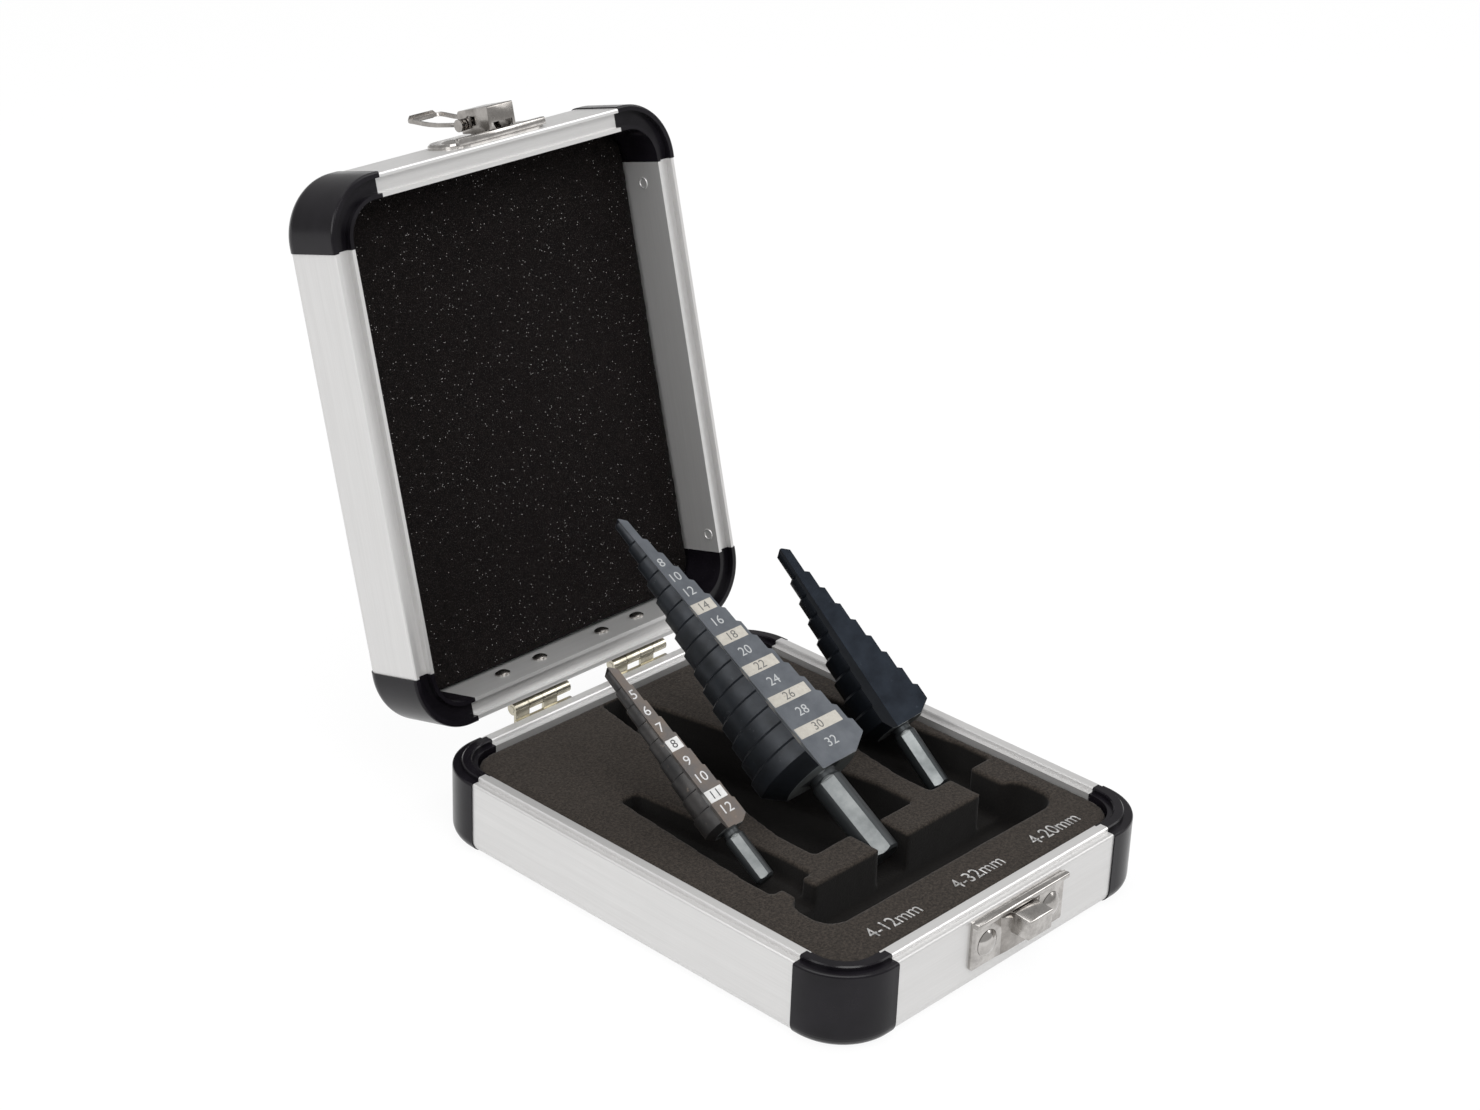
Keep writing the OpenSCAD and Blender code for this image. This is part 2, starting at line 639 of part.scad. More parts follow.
// Bail: two arms from the pin to a crossbar, drawn along +Z
module latch_bail() {
  top = bail_reach + bail_bar;
  wo = arm_x + arm_w;
  color("#c4c3bf") at_pin() rotate([bail_rest, 0, 0]) difference() {
    union() {
      translate([0, bail_t / 2, 0]) rotate([90, 0, 0]) linear_extrude(bail_t)
        difference() {
          polygon(concat([[-wo, 0]], [[wo, 0], [wo, 6]],
            arc([bail_tip_w / 2 - 1.6, top - 1.6], 1.6, 0, 90, 6),
            arc([-bail_tip_w / 2 + 1.6, top - 1.6], 1.6, 90, 180, 6), [[-wo, 6]]));
          polygon(concat([[-arm_x, -1], [arm_x, -1], [arm_x, 6]],
            arc([bail_tip_w / 2 - arm_w + 0.1 - 0.7, bail_reach - 0.7], 0.7, 0, 90, 4),
            arc([-bail_tip_w / 2 + arm_w - 0.1 + 0.7, bail_reach - 0.7], 0.7, 90, 180, 4),
            [[-arm_x, 6]]));
        }
      for (s = [-1, 1]) along_x(latch_pin_head_r, s < 0 ? -wo : arm_x, s < 0 ? -arm_x : wo);
    }
    along_x(latch_bore, -latch_w, latch_w);
  }
}

// Step drills: the axis runs along +Y from the shank's end, notches up and down
module drill(len, big, step, shank, shank_l, turn) {
  n = step_count(big, step);
  sl = step_len(len, shank_l, big, step);
  dr = step / 2;
  r0 = first_d / 2;
  back = min(big * 0.17, big / 2 - shank / 2 - 0.3);
  root = big * [-0.075, 0.15];
  difference() {
    rotate([-90, 0, 0]) rotate_extrude($fn = 72) polygon(concat(
      [[0, shank_l - 0.2], [big / 2 - back, shank_l - 0.2], [big / 2, shank_l + big * 0.11]],
      [for (i = [0:n - 2], k = [0, 1])
        [big / 2 - (i + k) * dr, shank_l + sl * (1 + wide_more(big) + i) + k * dr * 0.8]],
      [[r0, len - point_l], [0.3, len], [0, len]]));
    for (s = [0, 180]) rotate([0, s - turn, 0]) translate([root[0], shank_l - 1, root[1]])
      rotate([-atan((root[1] - web_tip) / (len - shank_l)), 0,
        atan((root[0] + web_tip / 2) / (len - shank_l))])
      rotate([90, 0, 0]) translate([0, 0, -len]) linear_extrude(len)
      polygon([[0, 0], for (a = [4, 4 + flute_open / 2, 4 + flute_open])
        1.5 * big * [cos(a), sin(a)]]);
  }
  rotate([-90, 0, 0]) difference() {
    rotate_extrude() polygon([[0, 0], [shank / 2 - 0.6, 0], [shank / 2, 0.6],
      [shank / 2, shank_l - 2.4], [shank / 2 - 0.5, shank_l - 1.6],
      [shank / 2 - 0.5, shank_l - 0.6], [shank / 2 - 0.2, shank_l], [0, shank_l]]);
    for (a = [0:120:240]) rotate([0, 0, a - 34])
      translate([-shank, -shank / 2 * (1 - flat_share) - shank, -1])
      cube([2 * shank, shank, shank_l - 1.6]);
  }
}
module raised(x, end, tilt) { translate([x, end[0], end[1]]) rotate([tilt, 0, 0]) children(); }
module step_drill_large() {
  color("#4c5158") raised(large_x, large_up, large_tilt)
    drill(large_len, large_max, 2, large_shank, large_shank_l, large_turn);
}
module step_drill_medium() {
  color("#43484f") raised(medium_x, medium_up, medium_tilt)
    drill(medium_len, medium_max, 2, medium_shank, medium_shank_l, medium_turn);
}
module step_drill_small() {
  color("#5b5048") raised(small_x, small_up, small_tilt)
    drill(small_len, small_max, 1, small_shank, small_shank_l, small_turn);
}

base_panel();
base_front_extrusion();
base_rear_extrusion();
base_left_extrusion();
base_right_extrusion();
base_corner_front_left();
base_corner_front_right();
base_corner_rear_left();
base_corner_rear_right();
foam_insert();
strike_plate();
strike_rivets();
hinge_left_base_leaf();
hinge_right_base_leaf();
hinge_left_pin();
hinge_right_pin();
hinge_rivets_base();
lid_panel();
lid_front_extrusion();
lid_rear_extrusion();
lid_left_extrusion();
lid_right_extrusion();
lid_corner_front_left();
lid_corner_front_right();
lid_corner_rear_left();
lid_corner_rear_right();
lid_sponge();
latch_plate();
latch_rivets();
latch_pin();
hinge_left_lid_leaf();
hinge_right_lid_leaf();
hinge_rivets_lid();
latch_lever();
latch_bail();
step_drill_small();
step_drill_large();
step_drill_medium();
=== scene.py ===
import bpy, bmesh, json, math
from mathutils import Matrix, Vector

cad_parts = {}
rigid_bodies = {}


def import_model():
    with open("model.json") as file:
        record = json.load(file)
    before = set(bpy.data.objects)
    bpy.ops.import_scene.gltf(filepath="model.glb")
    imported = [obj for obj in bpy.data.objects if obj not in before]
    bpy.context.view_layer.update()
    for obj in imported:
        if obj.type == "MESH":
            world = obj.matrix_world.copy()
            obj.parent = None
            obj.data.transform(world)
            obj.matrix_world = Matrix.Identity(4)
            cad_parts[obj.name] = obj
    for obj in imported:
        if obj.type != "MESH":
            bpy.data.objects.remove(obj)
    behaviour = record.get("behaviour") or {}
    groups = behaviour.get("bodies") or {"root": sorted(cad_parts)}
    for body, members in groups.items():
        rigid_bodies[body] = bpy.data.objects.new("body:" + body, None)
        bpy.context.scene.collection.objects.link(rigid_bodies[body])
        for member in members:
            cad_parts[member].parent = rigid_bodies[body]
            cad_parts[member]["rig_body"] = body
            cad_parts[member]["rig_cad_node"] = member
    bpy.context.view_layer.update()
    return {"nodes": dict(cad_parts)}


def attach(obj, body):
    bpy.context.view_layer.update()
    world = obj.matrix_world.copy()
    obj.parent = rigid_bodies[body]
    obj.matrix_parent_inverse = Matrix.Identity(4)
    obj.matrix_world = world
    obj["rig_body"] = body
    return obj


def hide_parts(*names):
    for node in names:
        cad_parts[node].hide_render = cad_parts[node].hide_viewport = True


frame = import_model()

mm = 0.001
nodes = frame["nodes"]
print("frame loaded:", len(nodes), "nodes")

case = dict(hingeY=72.0, hingeZ=22.4, open=104.4, foamTop=18.8)  # millimetres and degrees


def shift(x, y, z):  # in millimetres
    return Matrix.Translation((x * mm, y * mm, z * mm))


def spin(degrees, axis):
    return Matrix.Rotation(math.radians(degrees), 4, axis)


# takes a point of the closed lid to its place on the open lid
openTurn = (shift(0, case["hingeY"], case["hingeZ"]) @ spin(-case["open"], "X")
            @ shift(0, -case["hingeY"], -case["hingeZ"]))


def deselect():
    bpy.ops.object.select_all(action="DESELECT")


def only(obj):
    deselect()
    obj.select_set(True)
    bpy.context.view_layer.objects.active = obj
    return obj


def applyAll(obj):
    only(obj)
    bpy.ops.object.transform_apply(location=True, rotation=True, scale=True)
    return obj


def applyModifiers(obj):
    only(obj)
    for m in list(obj.modifiers):
        bpy.ops.object.modifier_apply(modifier=m.name)


def placed(obj, matrix):  # puts a finished mesh in place, the object stays at the origin
    obj.data.transform(matrix)
    obj.matrix_world = Matrix.Identity(4)
    return obj


def paint(obj, mat):
    obj.data.materials.clear()
    obj.data.materials.append(mat)


def newGroup(name, inputs, outputs):
    g = bpy.data.node_groups.new(name, "ShaderNodeTree")
    for label, kind, value in inputs:
        s = g.interface.new_socket(name=label, in_out="INPUT", socket_type=kind)
        if value is not None:
            s.default_value = value
    for label in outputs:
        g.interface.new_socket(name=label, in_out="OUTPUT", socket_type="NodeSocketFloat")
    return g, g.nodes.new("NodeGroupInput"), g.nodes.new("NodeGroupOutput")


def link(tree, a, b):
    tree.links.new(a, b)


def mathNode(tree, op, a, b=None):
    n = tree.nodes.new("ShaderNodeMath")
    n.operation = op
    for i, v in enumerate((a, b)):
        if v is None:
            continue
        if isinstance(v, (int, float)):
            n.inputs[i].default_value = v
        else:
            link(tree, v, n.inputs[i])
    return n.outputs[0]


def vectorNode(tree, op, vector, constant):
    n = tree.nodes.new("ShaderNodeVectorMath")
    n.operation = op
    n.inputs[1].default_value = constant
    link(tree, vector, n.inputs[0])
    return n


def noiseNode(tree, vector, scale, detail=3.0, rough=0.5):
    n = tree.nodes.new("ShaderNodeTexNoise")
    link(tree, vector, n.inputs["Vector"])
    if isinstance(scale, (int, float)):
        n.inputs["Scale"].default_value = scale
    else:
        link(tree, scale, n.inputs["Scale"])
    n.inputs["Detail"].default_value = detail
    n.inputs["Roughness"].default_value = rough
    return n.outputs["Fac"]


def rangeNode(tree, value, lo, hi, outLo=0.0, outHi=1.0):
    n = tree.nodes.new("ShaderNodeMapRange")
    link(tree, value, n.inputs["Value"])
    for label, v in (("From Min", lo), ("From Max", hi), ("To Min", outLo), ("To Max", outHi)):
        n.inputs[label].default_value = v
    return n.outputs["Result"]


def shareOf(tree, mask, share):  # weakens a mask
    return rangeNode(tree, mask, 0, 1, 0, share)


def separated(tree, vector):
    n = tree.nodes.new("ShaderNodeSeparateXYZ")
    link(tree, vector, n.inputs[0])
    return n.outputs


vectorInput = ("Vector", "NodeSocketVector", None)

# soft blotches, as handling marks and uneven coating
blotch = dict(scale=60.0, detail=5, rough=0.6, low=0.36, high=0.66)
patches, gi, go = newGroup(
    "patches", [vectorInput, ("Scale", "NodeSocketFloat", blotch["scale"])], ["Mask"])
blotches = noiseNode(patches, gi.outputs["Vector"], gi.outputs["Scale"],
                     blotch["detail"], blotch["rough"])
link(patches, rangeNode(patches, blotches, blotch["low"], blotch["high"]), go.inputs["Mask"])

# fine lines along the local X of the vector that comes in
line = dict(fineness=900.0, stretch=(0.02, 1.0, 1.0), fineDetail=4, fineRough=0.6, fineShare=0.65,
            broadScale=0.18, broadDetail=2, broadRough=0.5, broadShare=0.35, low=0.35, high=0.65)
streaks, gi, go = newGroup(
    "streaks", [vectorInput, ("Fineness", "NodeSocketFloat", line["fineness"])],
    ["Mask", "Height"])
stretched = vectorNode(streaks, "MULTIPLY", gi.outputs["Vector"], line["stretch"]).outputs[0]
fine = noiseNode(streaks, stretched, gi.outputs["Fineness"], line["fineDetail"], line["fineRough"])
broad = noiseNode(streaks, stretched,
                  mathNode(streaks, "MULTIPLY", gi.outputs["Fineness"], line["broadScale"]),
                  line["broadDetail"], line["broadRough"])
lines = mathNode(streaks, "ADD", mathNode(streaks, "MULTIPLY", fine, line["fineShare"]),
                 mathNode(streaks, "MULTIPLY", broad, line["broadShare"]))
link(streaks, rangeNode(streaks, lines, line["low"], line["high"]), go.inputs["Mask"])
link(streaks, fine, go.inputs["Height"])

# foam pores, and a rare share of them as spots, painted as glints (a painted highlight) and as
# dust
pore = dict(scale=1800.0, share=0.05, low=0.15, high=0.65, glintAndDustSize=0.32)
cells, gi, go = newGroup(
    "cells", [vectorInput, ("Scale", "NodeSocketFloat", pore["scale"]),
              ("Share", "NodeSocketFloat", pore["share"])], ["Mask", "Height", "PaintedGlintAndDust"])
voronoi = cells.nodes.new("ShaderNodeTexVoronoi")
link(cells, gi.outputs["Vector"], voronoi.inputs["Vector"])
link(cells, gi.outputs["Scale"], voronoi.inputs["Scale"])
distance = voronoi.outputs["Distance"]
link(cells, rangeNode(cells, distance, pore["low"], pore["high"]), go.inputs["Mask"])
link(cells, distance, go.inputs["Height"])
draw = cells.nodes.new("ShaderNodeSeparateColor")
link(cells, voronoi.outputs["Color"], draw.inputs[0])
near = mathNode(cells, "LESS_THAN", distance, pore["glintAndDustSize"])
rare = mathNode(cells, "LESS_THAN", draw.outputs[0], gi.outputs["Share"])
link(cells, mathNode(cells, "MULTIPLY", near, rare), go.inputs["PaintedGlintAndDust"])

# thin random scratches and rubbed spots
rub = dict(scale=300.0, share=0.62, detail=6, rough=0.7)
wear, gi, go = newGroup(
    "wear", [vectorInput, ("Scale", "NodeSocketFloat", rub["scale"]),
             ("Share", "NodeSocketFloat", rub["share"])], ["Mask"])
rubs = noiseNode(wear, gi.outputs["Vector"], gi.outputs["Scale"], rub["detail"], rub["rough"])
link(wear, mathNode(wear, "GREATER_THAN", rubs, gi.outputs["Share"]), go.inputs["Mask"])


def newMaterial(name, color, roughness, metallic=0.0, spec=0.5):
    mat = bpy.data.materials.new(name)
    mat.use_nodes = True
    tree = mat.node_tree
    bsdf = tree.nodes["Principled BSDF"]
    bsdf.inputs["Base Color"].default_value = (*color, 1)
    bsdf.inputs["Roughness"].default_value = roughness
    bsdf.inputs["Metallic"].default_value = metallic
    bsdf.inputs["Specular IOR Level"].default_value = spec
    return mat, tree, bsdf


def coordinates(tree, turn=(0, 0, 0), at=(0, 0, 0)):
    tc = tree.nodes.new("ShaderNodeTexCoord")
    mp = tree.nodes.new("ShaderNodeMapping")
    mp.vector_type = "TEXTURE"
    mp.inputs["Location"].default_value = at
    mp.inputs["Rotation"].default_value = turn
    link(tree, tc.outputs["Object"], mp.inputs["Vector"])
    return mp.outputs["Vector"]


def groupNode(tree, group, vector, **values):
    n = tree.nodes.new("ShaderNodeGroup")
    n.node_tree = group
    link(tree, vector, n.inputs["Vector"])
    for k, v in values.items():
        n.inputs[k].default_value = v
    return n.outputs


def mixColor(tree, factor, a, b):
    n = tree.nodes.new("ShaderNodeMix")
    n.data_type = "RGBA"
    link(tree, factor, n.inputs["Factor"])
    for i, v in ((6, a), (7, b)):  # the two colour sockets
        if isinstance(v, (tuple, list)):
            n.inputs[i].default_value = (*v, 1)
        else:
            link(tree, v, n.inputs[i])
    return n.outputs[2]


def bumpTo(tree, bsdf, height, strength, distance):
    b = tree.nodes.new("ShaderNodeBump")
    b.inputs["Strength"].default_value = strength
    b.inputs["Distance"].default_value = distance
    link(tree, height, b.inputs["Height"])
    link(tree, b.outputs["Normal"], bsdf.inputs["Normal"])


def extrudedAluminium(name, turn):
    a = dict(light=(0.63, 0.625, 0.62), dark=(0.585, 0.58, 0.575), handled=(0.575, 0.57, 0.565),
             metal=0.65, rough=(0.40, 0.34), fineness=3200.0, patchScale=35.0, patchShare=0.35,
             bump=0.06, depth=0.00001)
    mat, tree, bsdf = newMaterial(name, a["light"], a["rough"][1], a["metal"])
    v = coordinates(tree, turn)
    s = groupNode(tree, streaks, v, Fineness=a["fineness"])
    p = groupNode(tree, patches, v, Scale=a["patchScale"])
    base = mixColor(tree, s["Mask"], a["dark"], a["light"])
    base = mixColor(tree, shareOf(tree, p["Mask"], a["patchShare"]), base, a["handled"])
    link(tree, base, bsdf.inputs["Base Color"])
    link(tree, rangeNode(tree, s["Mask"], 0, 1, *a["rough"]), bsdf.inputs["Roughness"])
    bumpTo(tree, bsdf, s["Height"], a["bump"], a["depth"])
    return mat


aluAlongX = extrudedAluminium("aluminiumAlongX", (0, 0, 0))
aluAlongY = extrudedAluminium("aluminiumAlongY", spin(90, "Z").to_euler())
aluLidY = extrudedAluminium("aluminiumLidSides",
                            (spin(-case["open"], "X") @ spin(90, "Z")).to_euler())


def sheetAluminium():
    a = dict(color=(0.60, 0.605, 0.61), dark=(0.575, 0.57, 0.565), light=(0.605, 0.60, 0.595),
             metal=0.6, rough=(0.46, 0.34), patchScale=45.0, wearScale=220.0, wearShare=0.68,
             grain=900, grainDetail=4, bump=0.15, depth=0.00003)
    mat, tree, bsdf = newMaterial("panelSheet", a["color"], a["rough"][0], a["metal"])
    v = coordinates(tree)
    p = groupNode(tree, patches, v, Scale=a["patchScale"])
    w = groupNode(tree, wear, v, Scale=a["wearScale"], Share=a["wearShare"])
    link(tree, mixColor(tree, p["Mask"], a["dark"], a["light"]), bsdf.inputs["Base Color"])
    link(tree, rangeNode(tree, w["Mask"], 0, 1, *a["rough"]), bsdf.inputs["Roughness"])
    bumpTo(tree, bsdf, noiseNode(tree, v, a["grain"], a["grainDetail"]), a["bump"], a["depth"])
    return mat


def cornerPlastic():
    a = dict(color=(0.006, 0.0052, 0.0068), dark=(0.0040, 0.0034, 0.0047),
             light=(0.0070, 0.0060, 0.0082), spec=0.22, rough=(0.20, 0.34), patchScale=90.0,
             wearScale=420.0, wearShare=0.70, grain=1400, grainDetail=3, bump=0.10, depth=0.00003)
    mat, tree, bsdf = newMaterial("cornerPlastic", a["color"], a["rough"][0], 0.0, a["spec"])
    v = coordinates(tree)
    p = groupNode(tree, patches, v, Scale=a["patchScale"])
    w = groupNode(tree, wear, v, Scale=a["wearScale"], Share=a["wearShare"])
    link(tree, mixColor(tree, p["Mask"], a["dark"], a["light"]), bsdf.inputs["Base Color"])
    both = mathNode(tree, "ADD", p["Mask"], w["Mask"])
    link(tree, rangeNode(tree, both, 0, 2, *a["rough"]), bsdf.inputs["Roughness"])
    bumpTo(tree, bsdf, noiseNode(tree, v, a["grain"], a["grainDetail"]), a["bump"], a["depth"])
    return mat


def foamMaterial():
    # the near-black colour below the top face is painted shade in the drill pockets
    a = dict(dark=(0.0085, 0.0068, 0.0056), light=(0.027, 0.0216, 0.0176), cell=3000.0,
             patch=(0.0150, 0.0120, 0.0098), patchScale=120.0, patchShare=0.45,
             grain=(0.038, 0.0308, 0.0253), grainScale=1500, grainDetail=4, grainRough=0.7,
             grainRange=(0.42, 0.66), hollow=(0.0030, 0.0026, 0.0024), hollowTop=18.4,
             hollowFade=0.7, hollowShare=0.93, rough=0.92, spec=0.15, sheen=0.05,
             lump=500, lumpDetail=4, lumpShare=0.8, bump=0.45, depth=0.00015)
    mat, tree, bsdf = newMaterial("closedCellFoam", a["light"], a["rough"], 0.0, a["spec"])
    v = coordinates(tree)
    c = groupNode(tree, cells, v, Scale=a["cell"])
    p = groupNode(tree, patches, v, Scale=a["patchScale"])
    base = mixColor(tree, c["Mask"], a["light"], a["dark"])
    base = mixColor(tree, shareOf(tree, p["Mask"], a["patchShare"]), base, a["patch"])
    grain = noiseNode(tree, v, a["grainScale"], a["grainDetail"], a["grainRough"])
    base = mixColor(tree, rangeNode(tree, grain, *a["grainRange"]), base, a["grain"])
    cut = rangeNode(tree, separated(tree, v)[2], (a["hollowTop"] - a["hollowFade"]) * mm,
                    a["hollowTop"] * mm, a["hollowShare"], 0.0)  # painted shade: darker below the top face, down in the drill pockets
    link(tree, mixColor(tree, cut, base, a["hollow"]), bsdf.inputs["Base Color"])
    lumps = mathNode(tree, "MULTIPLY", noiseNode(tree, v, a["lump"], a["lumpDetail"]),
                     a["lumpShare"])
    pits = mathNode(tree, "MULTIPLY", c["Height"], -1.0)
    bumpTo(tree, bsdf, mathNode(tree, "ADD", pits, lumps), a["bump"], a["depth"])
    bsdf.inputs["Sheen Weight"].default_value = a["sheen"]
    return mat


def spongeMaterial():
    a = dict(color=(0.004, 0.003, 0.003), dark=(0.0008, 0.0005, 0.0005),
             light=(0.0026, 0.0017, 0.0016), patchScale=400.0, grain=(0.0105, 0.0077, 0.0070),
             grainScale=3800, grainDetail=2, grainRough=0.7, grainFrom=0.56,
             dust=(0.085, 0.078, 0.076), dustScale=5200.0, dustCells=0.20, dustShare=0.6,
             paintedGlint=(0.50, 0.485, 0.48), paintedGlintScale=3400.0, paintedGlintCells=0.020,
             rough=(0.92, 0.45), spec=0.10, bump=0.7, depth=0.0004)
    mat, tree, bsdf = newMaterial("lidSponge", a["color"], a["rough"][0], 0.0, a["spec"])
    v = coordinates(tree)
    c = groupNode(tree, cells, v, Scale=a["paintedGlintScale"], Share=a["paintedGlintCells"])
    d = groupNode(tree, cells, v, Scale=a["dustScale"], Share=a["dustCells"])
    p = groupNode(tree, patches, v, Scale=a["patchScale"])
    base = mixColor(tree, p["Mask"], a["dark"], a["light"])
    grain = noiseNode(tree, v, a["grainScale"], a["grainDetail"], a["grainRough"])
    base = mixColor(tree, mathNode(tree, "GREATER_THAN", grain, a["grainFrom"]), base, a["grain"])
    base = mixColor(tree, shareOf(tree, d["PaintedGlintAndDust"], a["dustShare"]), base, a["dust"])
    # painted highlight: a rare share of cells is painted bright as glints
    link(tree, mixColor(tree, c["PaintedGlintAndDust"], base, a["paintedGlint"]), bsdf.inputs["Base Color"])
    link(tree, rangeNode(tree, c["PaintedGlintAndDust"], 0, 1, *a["rough"]), bsdf.inputs["Roughness"])
    bumpTo(tree, bsdf, c["Height"], a["bump"], a["depth"])
    return mat


def platedMetal(name, light, dark, rough):
    a = dict(patchScale=260.0, wearScale=700.0, wearShare=0.66, roughMore=0.16,
             dent=320, dentDetail=3, bump=0.25, depth=0.00006)
    mat, tree, bsdf = newMaterial(name, light, rough, 1.0)
    v = coordinates(tree)
    p = groupNode(tree, patches, v, Scale=a["patchScale"])
    w = groupNode(tree, wear, v, Scale=a["wearScale"], Share=a["wearShare"])
    link(tree, mixColor(tree, p["Mask"], light, dark), bsdf.inputs["Base Color"])
    both = mathNode(tree, "ADD", p["Mask"], w["Mask"])
    link(tree, rangeNode(tree, both, 0, 2, rough, rough + a["roughMore"]),
         bsdf.inputs["Roughness"])
    bumpTo(tree, bsdf, noiseNode(tree, v, a["dent"], a["dentDetail"]), a["bump"], a["depth"])
    return mat


# lit and shaded copies of one nickel plating: the darker copy is painted shade, the lighter copy
# on the plates is painted light
shadedNickel = platedMetal("brightNickel", (0.40, 0.38, 0.36), (0.25, 0.235, 0.22), 0.19)
litNickel = platedMetal("litNickel", (0.55, 0.53, 0.51), (0.35, 0.335, 0.32), 0.14)
hingeMetal = platedMetal("goldNickel", (0.56, 0.53, 0.44), (0.42, 0.39, 0.31), 0.20)
sheet = sheetAluminium()
corner = cornerPlastic()
foam = foamMaterial()
sponge = spongeMaterial()

# sizes in millimetres and degrees as in the solids, end is the y and z of the shank's end
drills = dict(
    large=dict(
        body="large_drill", x=0.0, end=(-31.79, 13.75), tilt=31.3, turn=0.0,
        length=110.0, big=32.0, step=2.0, shank=8.5, shankLength=25.5, wideMore=0.45, tipMore=0.35,
        flat=(0.098, 0.106, 0.119), flatDark=(0.072, 0.079, 0.090), round=(0.0150, 0.0175, 0.0215),
        roundDark=(0.0085, 0.0098, 0.0118), rub=(0.10, 0.108, 0.118), metal=0.45, gloss=0.32,
        digit=(0.34, 0.35, 0.355), plate=(0.375, 0.355, 0.315), plateDigit=(0.09, 0.088, 0.086),
        numbers=(32, 28, 24, 20, 16, 12, 10, 8), plates=(30, 26, 22, 18, 14)),
    medium=dict(
        body="medium_drill", x=37.0, end=(-17.89, 12.23), tilt=38.9, turn=20.0,
        length=74.0, big=20.0, step=2.0, shank=6.0, shankLength=18.5, wideMore=0.15, tipMore=0.35,
        flat=(0.0095, 0.0125, 0.0175), flatDark=(0.0055, 0.0074, 0.0108),
        round=(0.0085, 0.0105, 0.0140), roundDark=(0.0062, 0.0075, 0.0095),
        rub=(0.030, 0.036, 0.046), metal=0.6, gloss=0.12, numbers=(), plates=()),
    small=dict(
        body="small_drill", x=-31.6, end=(-21.71, 16.0), tilt=33.0, turn=4.0,
        length=65.0, big=12.0, step=1.0, shank=5.0, shankLength=15.0, wideMore=0.15, tipMore=0.0,
        flat=(0.130, 0.104, 0.086), flatDark=(0.088, 0.083, 0.082), round=(0.030, 0.028, 0.027),
        roundDark=(0.014, 0.0138, 0.0142), rub=(0.19, 0.150, 0.120), metal=0.45, gloss=0.35,
        digit=(0.48, 0.48, 0.485), plate=(0.52, 0.52, 0.515), plateDigit=(0.03, 0.03, 0.033),
        numbers=(12, 10, 9, 7, 6, 5), plates=(11, 8)))
# root is a share of the widest step, before is how far the flute starts ahead of the steps
flute = dict(root=(-0.075, 0.15), tip=0.3, angle=4.0, leastDiameter=4.0, point=1.5, before=1)


def drillMatrix(d):  # local X across, Y along the axis from the shank's end, Z up
    return shift(d["x"], *d["end"]) @ spin(d["tilt"], "X")


def fluteMatrix(d):  # X along the numbered flat from its root, Y towards the point
    span = d["length"] - d["shankLength"]
    rootX, rootZ = (share * d["big"] for share in flute["root"])
    lean = Matrix.Rotation(math.atan((rootX + flute["tip"] / 2) / span), 4, "Z")
    sink = Matrix.Rotation(-math.atan((rootZ - flute["tip"]) / span), 4, "X")
    return (drillMatrix(d) @ spin(-d["turn"], "Y")
            @ shift(rootX, d["shankLength"] - flute["before"], rootZ)
            @ lean @ sink @ spin(-flute["angle"], "Y"))


